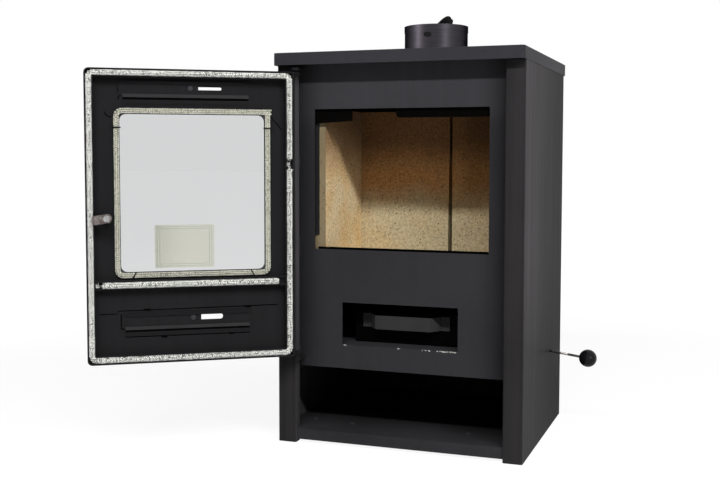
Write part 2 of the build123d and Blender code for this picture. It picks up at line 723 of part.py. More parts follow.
def air_knob():
    ball = Sphere(BALL_RADIUS)
    hole = Pos(-BALL_RADIUS + ROD_GRIP / 2, 0, 0) * Rot(0, 90, 0)
    hole = hole * Cylinder(ROD_RADIUS + SHAFT_GAP, ROD_GRIP + SEAT_GAP)
    return Pos(ball_x, air_rod_y, ball_z) * Rot(0, math.degrees(rod_slope), 0) * (ball - hole)


# Ash drawer

def drawer_box():
    wide = DRAWER_WIDTH / 2
    rear = DRAWER_FRONT + DRAWER_LENGTH
    box = block(-wide, wide, DRAWER_FRONT, rear, drawer_bottom, drawer_top)
    box = fillet(box.edges().filter_by(Axis.Z) + box.faces().sort_by(Axis.Z)[0].edges(), DRAWER_EDGE_RADIUS)
    inside = block(-wide + DRAWER_WALL, wide - DRAWER_WALL, DRAWER_FRONT + DRAWER_WALL, rear - DRAWER_WALL,
                   drawer_bottom + DRAWER_WALL, drawer_top + 1)
    inside = fillet(inside.edges().filter_by(Axis.Z) + inside.faces().sort_by(Axis.Z)[0].edges(),
                    DRAWER_EDGE_RADIUS - DRAWER_WALL)
    box -= inside
    for x in rivet_places:
        box -= rod_y(x, rivet_z, DRAWER_RIVET_RADIUS, DRAWER_FRONT - 1, DRAWER_FRONT + DRAWER_WALL + 1)
    return box


def drawer_handle():
    foot = HANDLE_FOOT_SPREAD / 2
    end = foot + HANDLE_FOOT_LENGTH
    front = HANDLE_FRONT_WIDTH / 2
    foot_y = DRAWER_FRONT - HANDLE_SHEET
    front_y = DRAWER_FRONT - HANDLE_REACH
    path = [(-end, foot_y), (-foot, foot_y), (-front, front_y), (front, front_y), (foot, foot_y), (end, foot_y)]
    strap = raised(folded(path, HANDLE_SHEET), handle_z, handle_z + HANDLE_HEIGHT)
    for x in rivet_places:
        strap -= rod_y(x, rivet_z, DRAWER_RIVET_RADIUS, foot_y - 1, DRAWER_FRONT + 1)
    return strap


def drawer_rivets():
    rivets = []
    for x in rivet_places:
        outer_y = DRAWER_FRONT - HANDLE_SHEET
        inner_y = DRAWER_FRONT + DRAWER_WALL
        rivet = rod_y(x, rivet_z, DRAWER_RIVET_RADIUS, outer_y, inner_y)
        rivet += rod_y(x, rivet_z, DRAWER_RIVET_HEAD, outer_y - 1.4, outer_y)
        rivet += rod_y(x, rivet_z, DRAWER_RIVET_HEAD, inner_y, inner_y + 1.0)
        rivets.append(rivet)
    return Compound(children=rivets)


# Door, drawn closed

# A block as wide as the door or its inside, with its two corners at the latch side rounded
def door_block(half_width, radius, y0, y1):
    margin = door_half - half_width
    shape = block(-half_width, half_width, y0, y1, door_bottom + margin, door_top - margin)
    return fillet(shape.edges().filter_by(Axis.Y).sort_by(Axis.X)[-2:], radius)


def door_skin():
    skin = door_block(door_half, DOOR_CORNER_RADIUS, door_face_y, door_rim_y)
    skin = fillet(skin.faces().sort_by(Axis.Y)[0].edges(), DOOR_EDGE_RADIUS)
    skin -= door_block(rim_inner, inside_radius, door_inside_y, door_rim_y + 1)
    front = door_face_y - 1
    rear = door_inside_y + 1
    skin -= rounded_block(WINDOW_X - WINDOW_WIDTH / 2, WINDOW_X + WINDOW_WIDTH / 2,
                          window_z - WINDOW_HEIGHT / 2, window_z + WINDOW_HEIGHT / 2,
                          WINDOW_RADIUS, front, rear)
    for z, height in ((upper_slot_z, UPPER_SLOT_HEIGHT), (lower_slot_z, LOWER_SLOT_HEIGHT)):
        skin -= slot(SLIDER_HOLE_LEFT, SLIDER_SCREW_RADIUS + SLOT_END_GAP, z, height, front, rear)
    return skin - rod_y(LATCH_X, latch_z, BUSH_RADIUS, front, rear)


# A filled frame outline whose half width is given, with the same margin at top and bottom
def door_panel(half_width, radius, y0, y1):
    height = door_height - 2 * (door_half - half_width)
    sketch = Pos(0, door_middle_z) * RectangleRounded(2 * half_width, height, radius)
    return facing(sketch, y0, y1)


def door_seal_channel():
    inner_radius = ROPE_CORNER_RADIUS - SEAT_GAP - CHANNEL_SHEET
    web = door_block(rim_inner, inside_radius, channel_web_y - CHANNEL_SHEET, channel_web_y)
    wall = door_panel(channel_wall, ROPE_CORNER_RADIUS - SEAT_GAP, door_inside_y, channel_wall_y)
    return web + wall - door_panel(channel_inner, inner_radius, door_inside_y - 1, channel_wall_y + 1)


def soft_edges(shape, radius):
    front = shape.faces().sort_by(Axis.Y)[-1]
    return fillet(front.edges(), radius)


def door_rope():
    rope = door_panel(rope_outer, ROPE_CORNER_RADIUS + ROPE_WIDTH / 2, channel_web_y, rope_face_y)
    rope -= door_panel(rope_inner, ROPE_CORNER_RADIUS, channel_web_y - 1, rope_face_y + 1)
    return soft_edges(rope, ROPE_RADIUS)


def door_crossbar():
    low_z = bar_z - bar_wall_reach
    high_z = bar_z + bar_wall_reach
    bar = block(-channel_inner, channel_inner, door_inside_y, channel_wall_y, low_z, high_z)
    low_gap = low_z + CHANNEL_SHEET
    high_gap = high_z - CHANNEL_SHEET
    bar -= block(-door_half, door_half, channel_web_y, channel_wall_y + 1, low_gap, high_gap)
    bar -= block(-door_half, door_half, door_inside_y - 1, channel_web_y - CHANNEL_SHEET, low_gap, high_gap)
    left_z = lower_slider_z + FLANGE_LEFT_RISE
    right_z = lower_slider_z + FLANGE_RIGHT_RISE
    flange = [(FLANGE_LEFT, left_z), (FLANGE_STEP_X, right_z + FLANGE_STEP_DROP), (FLANGE_STEP_X, right_z),
              (FLANGE_RIGHT, right_z), (FLANGE_RIGHT, low_z), (FLANGE_LEFT, low_z)]
    return bar + facing(outline(flange), door_inside_y, door_inside_y + FLANGE_THICKNESS)


def crossbar_rope():
    rope = block(BAR_ROPE_LEFT, BAR_ROPE_RIGHT, channel_web_y, rope_face_y,
                 bar_z - BAR_ROPE_WIDTH / 2, bar_z + BAR_ROPE_WIDTH / 2)
    return soft_edges(rope, ROPE_RADIUS)


def window_frame(margin, radius, y0, y1):
    wide = WINDOW_WIDTH / 2 + margin
    high = WINDOW_HEIGHT / 2 + margin
    return rounded_block(WINDOW_X - wide, WINDOW_X + wide, window_z - high, window_z + high, radius, y0, y1)


def window_glass():
    return window_frame(glass_margin - GLASS_GAP, GASKET_RADIUS - GASKET_THICKNESS - GLASS_GAP, glass_y0, glass_y1)


def window_gasket():
    gasket = window_frame(GASKET_LAP, GASKET_RADIUS, door_inside_y, gasket_y1)
    gasket -= window_frame(glass_margin, GASKET_RADIUS - GASKET_THICKNESS, glass_y0, glass_y1)
    return gasket - window_frame(GASKET_INSET, WINDOW_RADIUS + GASKET_INSET, door_inside_y - 1, gasket_y1 + 1)


def glass_label():
    low = window_bottom + LABEL_RISE
    return block(LABEL_LEFT, LABEL_LEFT + LABEL_WIDTH, glass_y0 - LABEL_THICKNESS, glass_y0,
                 low, low + LABEL_HEIGHT)


# One clip, with its lip pointing to local +X over the glass rope
def glass_clip(foot):
    lip_y = gasket_y1 + GLASS_GAP
    points = [(-foot, door_inside_y), (-SEAT_GAP, door_inside_y), (-SEAT_GAP, lip_y), (CLIP_REACH, lip_y),
              (CLIP_REACH, lip_y + CLIP_THICKNESS), (-SEAT_GAP - CLIP_THICKNESS, lip_y + CLIP_THICKNESS),
              (-SEAT_GAP - CLIP_THICKNESS, door_inside_y + CLIP_THICKNESS),
              (-foot, door_inside_y + CLIP_THICKNESS)]
    return raised(outline(points), -CLIP_WIDTH / 2, CLIP_WIDTH / 2)


def glass_clips():
    wide = WINDOW_WIDTH / 2 + GASKET_LAP
    low = window_z - WINDOW_HEIGHT / 2 - GASKET_LAP
    high = window_z + WINDOW_HEIGHT / 2 + GASKET_LAP - CLIP_SIDE_DROP
    left = Pos(WINDOW_X - wide, 0, high) * glass_clip(CLIP_FOOT)
    right = Pos(WINDOW_X + wide, 0, high) * mirror(glass_clip(CLIP_FOOT), about=Plane.YZ)
    clips = [left, right]
    lean = math.radians(CLIP_BOTTOM_LEAN)
    drop = CLIP_WIDTH / 2 * math.sin(lean)
    bottom_foot = (low - bar_z - bar_wall_reach - SEAT_GAP - 2 * drop) / math.cos(lean)
    for side in (-1, 1):
        place = Pos(WINDOW_X + side * CLIP_BOTTOM_SPREAD, 0, low - drop)
        clips.append(place * Rot(0, -90 - side * CLIP_BOTTOM_LEAN, 0) * glass_clip(bottom_foot))
    return Compound(children=clips)


# Air sliders

def slider_rails(z):
    low = z - SEAT_GAP
    lower = [(door_inside_y, low), (rail_lip_y, low), (rail_lip_y, z + RAIL_LAP), (rail_y1, z + RAIL_LAP),
             (rail_y1, low - 2 * RAIL_SHEET), (door_inside_y + RAIL_SHEET, low - 2 * RAIL_SHEET),
             (door_inside_y + RAIL_SHEET, low - 2 * RAIL_SHEET - RAIL_FLANGE),
             (door_inside_y, low - 2 * RAIL_SHEET - RAIL_FLANGE)]
    high = z + SLIDER_HEIGHT + SEAT_GAP
    upper = [(door_inside_y, high), (rail_lip_y, high), (rail_lip_y, high - SEAT_GAP - RAIL_LAP),
             (rail_y1, high - SEAT_GAP - RAIL_LAP), (rail_y1, high + RAIL_TOP_RISE),
             (door_inside_y, high + RAIL_TOP_RISE)]
    rails = [along_x(outline(points), RAIL_LEFT, RAIL_RIGHT) for points in (lower, upper)]
    return Compound(children=rails)


# The hole in a slider plate is round at one end and square at the other
def slider_plate(z, middle, shift):
    plate = block(SLIDER_LEFT + shift, SLIDER_RIGHT + shift, slider_y0, slider_y1, z, z + SLIDER_HEIGHT)
    left = SLIDER_HOLE_LEFT + shift
    right = SLIDER_HOLE_RIGHT + shift
    high = LOWER_SLOT_HEIGHT / 2
    plate -= slot(left, right, middle, LOWER_SLOT_HEIGHT, slider_y0 - 1, slider_y1 + 1)
    plate -= block(left + high, right, slider_y0 - 1, slider_y1 + 1, middle - high, middle + high)
    return plate - rod_y(shift, middle, SLIDER_SCREW_RADIUS, slider_y0 - 1, slider_y1 + 1)


def slider_knob(middle, shift):
    neck_y = door_face_y - SEAT_GAP
    knob_y = neck_y - KNOB_NECK_LENGTH
    knob = rod_y(shift, middle, KNOB_RADIUS, knob_y - KNOB_LENGTH, knob_y)
    knob = fillet(knob.faces().sort_by(Axis.Y)[0].edges(), KNOB_RADIUS * 0.3)
    knob += rod_y(shift, middle, KNOB_NECK_RADIUS, knob_y, neck_y)
    knob += rod_y(shift, middle, SLIDER_SCREW_RADIUS, neck_y, slider_y1)
    return knob + rod_y(shift, middle, SCREW_HEAD_RADIUS, slider_y1, slider_y1 + SCREW_HEAD_HEIGHT)


# Latch

def latch_bush():
    tube = rod_y(LATCH_X, latch_z, BUSH_RADIUS, bush_y0, bush_y1)
    return tube - rod_y(LATCH_X, latch_z, SPINDLE_RADIUS + SHAFT_GAP, bush_y0 - 1, bush_y1 + 1)


def latch_spindle():
    shaft = rod_y(LATCH_X, latch_z, SPINDLE_RADIUS, hub_y - GRIP_HUB_LENGTH, tongue_y)
    return shaft + rod_y(LATCH_X, latch_z, SPINDLE_END_RADIUS, tongue_y, spindle_end)


def latch_tongue():
    high = TONGUE_HEIGHT / 2
    bar = rounded_block(0, TONGUE_REACH, -high, high, high * 0.45, tongue_y, tongue_y1)
    bar += slot(-TONGUE_TAIL, TONGUE_REACH / 2, 0, TONGUE_HEIGHT, tongue_y, tongue_y1)
    bar -= rod_y(0, 0, SPINDLE_END_RADIUS + SHAFT_GAP, tongue_y - 1, tongue_y1 + 1)
    return Pos(LATCH_X, 0, latch_z) * Rot(0, TONGUE_TILT, 0) * bar


def latch_nut():
    hexagon = Pos(LATCH_X, latch_z) * RegularPolygon(NUT_FLATS / 2, 6, major_radius=False)
    nut = facing(hexagon, tongue_y1, spindle_end)
    return nut - rod_y(LATCH_X, latch_z, SPINDLE_END_RADIUS + SHAFT_GAP, tongue_y1 - 1, spindle_end + 1)


def latch_handle():
    hub = rod_y(LATCH_X, latch_z, GRIP_HUB_RADIUS, hub_y - GRIP_HUB_LENGTH, hub_y)
    grip_y = hub_y - GRIP_HUB_LENGTH / 2
    grip = rod_z(LATCH_X, grip_y, GRIP_RADIUS, latch_z - GRIP_LENGTH, latch_z)
    grip += Pos(LATCH_X, grip_y, latch_z - GRIP_LENGTH) * Sphere(GRIP_RADIUS)
    bore = rod_y(LATCH_X, latch_z, SPINDLE_RADIUS + SHAFT_GAP, hub_y - GRIP_HUB_LENGTH - 1, hub_y + 1)
    return hub + grip - bore


# Hinges

def door_lugs():
    outline_points = [(hinge_x, hinge_y - LUG_RADIUS), (-door_half, door_face_y + DOOR_EDGE_RADIUS),
                      (-door_half, door_rim_y - 5), (hinge_x - LUG_RADIUS * 0.7, hinge_y + LUG_RADIUS * 0.7)]
    lugs = []
    for z in (door_bottom, door_top - LUG_THICKNESS):
        lug = raised(outline(outline_points), z, z + LUG_THICKNESS)
        lug += rod_z(hinge_x, hinge_y, LUG_RADIUS, z, z + LUG_THICKNESS)
        lugs.append(lug - rod_z(hinge_x, hinge_y, HINGE_PIN_RADIUS + SHAFT_GAP, z - 1, z + LUG_THICKNESS + 1))
    return Compound(children=lugs)


def hinge_brackets():
    brackets = []
    for z in (lower_bracket_top - HINGE_BRACKET_THICKNESS, upper_bracket_bottom):
        arm = block(-pilaster_edge, hinge_x + HINGE_BRACKET_RADIUS, hinge_y, PANEL_SETBACK,
                    z, z + HINGE_BRACKET_THICKNESS)
        arm += rod_z(hinge_x, hinge_y, HINGE_BRACKET_RADIUS, z, z + HINGE_BRACKET_THICKNESS)
        brackets.append(arm - rod_z(hinge_x, hinge_y, HINGE_PIN_RADIUS, z - 1, z + HINGE_BRACKET_THICKNESS + 1))
    return Compound(children=brackets)


def hinge_pins():
    lower = rod_z(hinge_x, hinge_y, HINGE_PIN_RADIUS, lower_bracket_top - HINGE_BRACKET_THICKNESS,
                  door_bottom + LUG_THICKNESS)
    lower += rod_z(hinge_x, hinge_y, LUG_RADIUS - 0.5, lower_bracket_top, door_bottom - SEAT_GAP)
    upper = rod_z(hinge_x, hinge_y, HINGE_PIN_RADIUS, door_top - LUG_THICKNESS,
                  upper_bracket_bottom + HINGE_BRACKET_THICKNESS)
    return Compound(children=[lower, upper])


def opened(shape):
    return Pos(hinge_x, hinge_y, 0) * Rot(0, 0, -DOOR_ANGLE) * Pos(-hinge_x, -hinge_y, 0) * shape


fixed_nodes = {
    "top_plate": top_plate(),
    "side_panel_left": side_panel_left(),
    "side_panel_right": side_panel_right(),
    "front_panel": front_panel(),
    "back_panel": back_panel(),
    "roof_plate": roof_plate(),
    "flue_collar": flue_collar(),
    "firebox_side_left": firebox_side_left(),
    "firebox_side_right": firebox_side_right(),
    "firebox_back": firebox_back(),
    "firebox_floor": firebox_floor(),
    "ash_floor": ash_floor(),
    "grate": grate(),
    "side_brick_left": side_brick(brick_left),
    "side_brick_right": side_brick(brick_right - BRICK_THICKNESS),
    "back_brick_left": back_brick_left(),
    "back_brick_right": back_brick_right(),
    "floor_bricks_sides": floor_bricks_sides(),
    "floor_bricks_ends": floor_bricks_ends(),
    "retaining_strips": retaining_strips(),
    "log_guard": log_guard(),
    "baffle_bracket_left": baffle_bracket_left(),
    "baffle_bracket_right": baffle_bracket_right(),
    "baffle_plate": baffle_plate(),
    "compartment_ceiling": compartment_ceiling(),
    "compartment_shelf": compartment_shelf(),
    "shelf_screws": shelf_screws(),
    "shutter_guides": shutter_guides(),
    "hinge_brackets": hinge_brackets(),
    "hinge_pins": hinge_pins(),
    "damper_disc": damper_disc(),
    "damper_axle": damper_axle(),
    "damper_handle": damper_handle(),
    "air_shutter": air_shutter(),
    "air_rod": air_rod(),
    "air_knob": air_knob(),
    "drawer_box": drawer_box(),
    "drawer_handle": drawer_handle(),
    "drawer_rivets": drawer_rivets(),
}

door_nodes = {
    "door_skin": door_skin(),
    "door_seal_channel": door_seal_channel(),
    "door_rope": door_rope(),
    "door_crossbar": door_crossbar(),
    "crossbar_rope": crossbar_rope(),
    "window_glass": window_glass(),
    "window_gasket": window_gasket(),
    "glass_label": glass_label(),
    "glass_clips": glass_clips(),
    "upper_slider_rails": slider_rails(upper_slider_z),
    "lower_slider_rails": slider_rails(lower_slider_z),
    "door_lugs": door_lugs(),
    "latch_bush": latch_bush(),
    "latch_spindle": latch_spindle(),
    "latch_tongue": latch_tongue(),
    "latch_nut": latch_nut(),
    "latch_handle": latch_handle(),
    "upper_slider": slider_plate(upper_slider_z, upper_slot_z, 0.0),
    "upper_slider_knob": slider_knob(upper_slot_z, 0.0),
    "lower_slider": slider_plate(lower_slider_z, lower_slot_z, LOWER_SLIDER_SHIFT),
    "lower_slider_knob": slider_knob(lower_slot_z, LOWER_SLIDER_SHIFT),
}

os.makedirs("parts", exist_ok=True)
nodes = dict(fixed_nodes)
for name, shape in door_nodes.items():
    nodes[name] = opened(shape)
for name, shape in nodes.items():
    export_step(Pos(0, -origin_y, 0) * shape, f"parts/{name}.step")
print(len(nodes), "nodes written")
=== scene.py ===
import math
import random

import bmesh
import bpy
from mathutils import Euler, Matrix, Vector


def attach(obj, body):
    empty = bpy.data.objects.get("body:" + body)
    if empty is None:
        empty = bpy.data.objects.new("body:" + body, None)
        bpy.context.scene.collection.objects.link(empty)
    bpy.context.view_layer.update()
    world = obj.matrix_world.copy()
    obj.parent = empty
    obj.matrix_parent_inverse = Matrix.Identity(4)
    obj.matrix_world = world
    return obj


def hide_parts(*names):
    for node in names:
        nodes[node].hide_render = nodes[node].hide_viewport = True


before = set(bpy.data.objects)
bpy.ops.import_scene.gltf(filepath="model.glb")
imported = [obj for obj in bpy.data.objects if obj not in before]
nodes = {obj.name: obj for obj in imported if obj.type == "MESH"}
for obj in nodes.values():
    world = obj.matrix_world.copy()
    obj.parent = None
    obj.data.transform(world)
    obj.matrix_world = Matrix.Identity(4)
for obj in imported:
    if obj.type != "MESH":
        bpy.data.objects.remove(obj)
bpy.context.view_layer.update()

scene = bpy.context.scene
scene.view_settings.view_transform = "Standard"

mm = 0.001
backPlane = 0.4005  # the origin lies under the back panel, this far behind the pilasters' faces

# the door's pin, how far behind it the inner face lies when shut, and its turn in the photograph
doorHinge = {"x": -0.196, "y": -0.41, "face": 0.0095, "turn": -145.42}
doorOpen = (
    Matrix.Translation((doorHinge["x"], doorHinge["y"], 0))
    @ Matrix.Rotation(math.radians(doorHinge["turn"]), 4, "Z")
    @ Matrix.Translation((-doorHinge["x"], doorHinge["face"], 0))
)
# the door's inner face as it is seen when open, in millimetres: right along it, up, and out of it
doorFace = doorOpen @ Matrix(((-mm, 0, 0, 0), (0, 0, mm, 0), (0, mm, 0, 0), (0, 0, 0, 1)))
# the body in millimetres, from the middle of the pilasters' faces on the floor
stoveFrame = Matrix.Translation((0, -backPlane, 0)) @ Matrix.Scale(mm, 4)
print("stage: frame loaded")


# materials


class Wire:
    # an output socket that takes plain arithmetic
    def __init__(self, finish, socket):
        self.finish = finish
        self.socket = socket

    def maths(self, operation, first, second):
        return self.finish.node("ShaderNodeMath", {"operation": operation}, {0: first, 1: second})

    def __add__(self, other):
        return self.maths("ADD", self, other)

    def __radd__(self, other):
        return self.maths("ADD", other, self)

    def __sub__(self, other):
        return self.maths("SUBTRACT", self, other)

    def __rsub__(self, other):
        return self.maths("SUBTRACT", other, self)

    def __mul__(self, other):
        return self.maths("MULTIPLY", self, other)

    def __rmul__(self, other):
        return self.maths("MULTIPLY", other, self)


class Finish:
    # the nodes of one material, or of the world
    def __init__(self, name, world=False):
        self.holder = bpy.data.worlds.new(name) if world else bpy.data.materials.new(name)
        self.holder.use_nodes = True
        self.tree = self.holder.node_tree
        self.tree.nodes.clear()

    def give(self, socket, value):
        if isinstance(value, Wire):
            self.tree.links.new(value.socket, socket)
        elif isinstance(value, (tuple, list)):
            room = len(socket.default_value)
            socket.default_value = (*value, 1.0)[:room] if len(value) < room else value
        else:
            socket.default_value = value

    def node(self, kind, settings=None, inputs=None, output=0):
        made = self.tree.nodes.new(kind)
        for key, value in (settings or {}).items():
            setattr(made, key, value)
        for key, value in (inputs or {}).items():
            self.give(made.inputs[key], value)
        return Wire(self, made.outputs[output]) if made.outputs else None

    def place(self):
        return self.node("ShaderNodeTexCoord", output="Object")

    def axis(self, place, letter):
        return self.node("ShaderNodeSeparateXYZ", {}, {0: place}, letter)

    def stretched(self, place, scale):
        inputs = {"Vector": place, "Scale": scale}
        return self.node("ShaderNodeMapping", {"vector_type": "POINT"}, inputs)

    def noise(self, place, scale, detail=2.0, rough=0.5):
        inputs = {"Vector": place, "Scale": scale, "Detail": detail, "Roughness": rough}
        return self.node("ShaderNodeTexNoise", {"noise_dimensions": "3D"}, inputs, "Fac")

    def cells(self, place, scale, disorder=1.0):
        inputs = {"Vector": place, "Scale": scale, "Randomness": disorder}
        return self.node("ShaderNodeTexVoronoi", {}, inputs, "Distance")

    def band(self, value, low, high):
        # 0 below low, 1 above high, smooth between; turned round when low is the larger
        inputs = {"Value": value, "From Min": low, "From Max": high}
        return self.node("ShaderNodeMapRange", {"interpolation_type": "SMOOTHSTEP"}, inputs)

    def window(self, value, low, high, soft):
        # 1 between low and high, with a soft edge inside each
        return self.band(value, low, low + soft) * self.band(value, high, high - soft)

    def mix(self, factor, first, second):
        settings = {"data_type": "RGBA", "blend_type": "MIX"}
        return self.node("ShaderNodeMix", settings, {0: factor, 6: first, 7: second}, 2)

    def shaded(self, colour, amount):
        inputs = {0: colour, "Scale": amount}
        return self.node("ShaderNodeVectorMath", {"operation": "SCALE"}, inputs)

    def bump(self, height, strength, distance, under=None):
        inputs = {"Height": height, "Strength": strength, "Distance": distance}
        if under is not None:
            inputs["Normal"] = under
        return self.node("ShaderNodeBump", {}, inputs, "Normal")

    def seen(self):
        # 1 or more on the rays that show the backdrop straight, in a gloss or through the glass
        rays = ("Is Camera Ray", "Is Glossy Ray", "Is Transmission Ray")
        straight, gloss, glass = (self.node("ShaderNodeLightPath", output=ray) for ray in rays)
        return straight + gloss + glass

    def surface(self, **sockets):
        inputs = {name.replace("_", " "): value for name, value in sockets.items()}
        shader = self.node("ShaderNodeBsdfPrincipled", {}, inputs, "BSDF")
        self.node("ShaderNodeOutputMaterial", {}, {"Surface": shader})
        return self.holder


# corner and the value after it darken and lighten the panel: painted shade in its corners, painted
# light above the fire; the fade is painted shade towards the back and the foot, depth is where the
# fade to the back ends, and face is what is left on the pilasters' faces
paintLook = {
    "front": {
        "colour": (0.0270, 0.0265, 0.0290), "rough": 0.50,
        "cloud": 0.35, "streak": 0.25, "shine": 0.02,
    },
    "panel": {
        "colour": (0.0262, 0.0258, 0.0285), "rough": 0.50,
        "cloud": 0.40, "streak": 0.25, "shine": 0.02,
        # painted shade in the corners and painted light above the fire
        "corner": 0.42, "paintedLight": 0.25,
    },
    # the broad sides are painted lighter than the front, a painted reflection of their sheen; the
    # fade is painted shade, and face brings the pilasters' faces back down
    "side": {
        "colour": (0.068, 0.0645, 0.0675), "rough": 0.46,
        "cloud": 0.45, "streak": 1.0, "shine": 0.006,
        "shadeFade": (0.50, 0.36), "depth": -0.04, "face": 0.355,
    },
    # the shelf darkens towards the back: painted shade deep in the compartment
    "shelf": {
        "colour": (0.0277, 0.0273, 0.0295), "rough": 0.50,
        "cloud": 0.9, "streak": 0.3, "shine": 0.012,
        "shadeFade": (0.85, 0.0), "depth": -0.20, "face": 1.0,
    },
    "door": {
        "colour": (0.0145, 0.0145, 0.0155), "rough": 0.55,
        "cloud": 0.30, "streak": 0.30, "shine": 0.008,
    },
    "top": {
        "colour": (0.031, 0.030, 0.035), "rough": 0.44,
        "cloud": 0.35, "streak": 0.20, "shine": 0.02,
    },
    # black steel inside, painted darker still as painted shade deep in the firebox and the
    # compartments
    "inner": {
        "colour": (0.0020, 0.0018, 0.0017), "rough": 0.62,
        "cloud": 0.60, "streak": 0.20, "shine": 0.001,
    },
    "drawer": {
        "colour": (0.029, 0.029, 0.030), "rough": 0.48,
        "cloud": 0.50, "streak": 0.30, "shine": 0.01,
    },
    # the drawer's box is nearly black: painted shade deep in the ash opening
    "drawerBox": {
        "colour": (0.0012, 0.0012, 0.0012), "rough": 0.6,
        "cloud": 0.50, "streak": 0.30, "shine": 0.01,
    },
}

# what all paint shares; here and below a noise is given by its scale, detail and roughness, and
# a bump by its strength and height
paintGrain = {
    "clouds": (6.0, 3.0), "streaks": (1.0, 3.0, 0.6), "stretch": (55, 55, 1.6),
    "grains": (420.0, 1.0), "peel": (700.0, 2.0),
    "grain": 0.25, "cloudRough": 0.14, "grainRough": 0.10,
    "peelBump": (0.10, 0.0004), "dentBump": (0.06, 0.004),
}

# where paint changes, in metres from the stove's middle, from the floor and from the back
paintPlaces = {
    # where the panel's painted shade in the corners and painted light above the fire lie
    "corner": (0.140, 0.198), "paintedLight": (0.60, 0.64),
    "front": -0.40, "foot": (0.42, 0.08), "broad": (-0.3998, -0.3985),
}

chipLook = {
    "colour": (0.42, 0.41, 0.39), "smooth": 0.12,
    "softAcross": 0.0015, "softUp": 0.0006, "rags": 420.0, "ragged": 0.005,
    "specks": 330.0, "speckAt": (0.46, 0.54),
    # left, right, lower and upper end of each chipped length of the ash opening's edge
    "places": [
        (-0.111, -0.100, 0.1900, 0.1932),
        (-0.004, 0.003, 0.1900, 0.1928),
        (0.044, 0.062, 0.1900, 0.1930),
        (0.072, 0.112, 0.1900, 0.1932),
    ],
}


def paint(name, look, chips=()):
    f = Finish(name)
    place = f.place()
    cloud = f.noise(place, *paintGrain["clouds"])
    streaks = f.noise(f.stretched(place, paintGrain["stretch"]), *paintGrain["streaks"])
    grain = f.noise(place, *paintGrain["grains"])
    amount = 1.0 + (cloud - 0.5) * look["cloud"] + (streaks - 0.5) * look["streak"]
    amount = amount + (grain - 0.5) * paintGrain["grain"]
    if "corner" in look:
        # painted shade darkens the corners beside the pilasters, and painted light brightens the
        # panel above the fire
        aside = f.node("ShaderNodeMath", {"operation": "ABSOLUTE"}, {0: f.axis(place, "X")})
        amount = amount * (1.0 - f.band(aside, *paintPlaces["corner"]) * look["corner"])
        above = f.band(f.axis(place, "Z"), *paintPlaces["paintedLight"])
        amount = amount * (1.0 + above * look["paintedLight"])
    if "shadeFade" in look:
        # painted shade: the broad side darkens towards the back and the floor; the pilasters' faces
        # stay even
        depth = f.axis(place, "Y")
        back = f.band(depth, paintPlaces["front"], look["depth"]) * look["shadeFade"][0]
        foot = f.band(f.axis(place, "Z"), *paintPlaces["foot"]) * look["shadeFade"][1]
        broad = f.band(depth, *paintPlaces["broad"])
        amount = amount * (look["face"] * (1.0 - broad) + broad * (1.0 - back) * (1.0 - foot))
    base = f.shaded(look["colour"], amount)
    rough = look["rough"] + (cloud - 0.5) * paintGrain["cloudRough"]
    rough = rough + (grain - 0.5) * paintGrain["grainRough"]
    if chips:
        across = f.axis(place, "X")
        ragged = (f.noise(place, chipLook["rags"]) - 0.5) * chipLook["ragged"]
        height = f.axis(place, "Z") + ragged
        speck = f.band(f.noise(place, chipLook["specks"]), *chipLook["speckAt"])
    for low, high, bottom, top in chips:
        spot = f.window(across, low, high, chipLook["softAcross"])
        spot = spot * f.window(height, bottom, top, chipLook["softUp"]) * speck
        base = f.mix(spot, base, chipLook["colour"])
        rough = rough - spot * chipLook["smooth"]
    peel = f.bump(f.noise(place, *paintGrain["peel"]), *paintGrain["peelBump"])
    dents = f.bump(cloud, *paintGrain["dentBump"], peel)
    return f.surface(
        Base_Color=base, Roughness=rough, Specular_IOR_Level=look["shine"], Normal=dents
    )


# the ledges are heights over the floor; under and over are the lip's soft edges about its ledge
railLook = {
    # the lip's lighter colour is painted light
    "sheet": (0.0125, 0.0125, 0.0135), "lip": (0.031, 0.031, 0.032),
    "under": (-0.0034, -0.0031), "over": (0.0031, 0.0027),
    "upperLedge": 0.6579, "lowerLedge": 0.2364,
    "clouds": (30.0, 3.0), "least": 0.85, "cloud": 0.3,
    "rough": 0.55, "shine": 0.01, "bump": (0.05, 0.001),
}


def railPaint(name, v, ledge):
    # the folded lip is painted lighter than the sheet below it: painted light on its face
    f = Finish(name)
    place = f.place()
    height = f.axis(place, "Z")
    cloud = f.noise(place, *v["clouds"])
    under = f.band(height, *(ledge + edge for edge in v["under"]))
    over = f.band(height, *(ledge + edge for edge in v["over"]))
    base = f.mix(under * over, v["sheet"], v["lip"])
    base = f.shaded(base, v["least"] + cloud * v["cloud"])
    return f.surface(
        Base_Color=base, Roughness=v["rough"], Specular_IOR_Level=v["shine"],
        Normal=f.bump(cloud, *v["bump"])
    )


collarLook = {
    "colour": (0.046, 0.042, 0.050), "rough": 0.42, "cloudRough": 0.12,
    "clouds": (30.0, 3.0), "rings": (1.0, 2.0), "stretch": (20, 20, 260), "uneven": 0.5,
    "bump": (0.05, 0.002),
}


def satin(name, v):
    # the collar: a dark sheen that does not brighten at its edges
    f = Finish(name)
    place = f.place()
    cloud = f.noise(place, *v["clouds"])
    ring = f.noise(f.stretched(place, v["stretch"]), *v["rings"])
    base = f.shaded(v["colour"], 1.0 + (cloud - 0.5) * v["uneven"] + (ring - 0.5) * v["uneven"])
    rough = v["rough"] + (cloud - 0.5) * v["cloudRough"]
    return f.surface(
        Base_Color=base, Roughness=rough, Metallic=1.0, Specular_Tint=(0.0, 0.0, 0.0),
        Normal=f.bump(cloud, *v["bump"])
    )


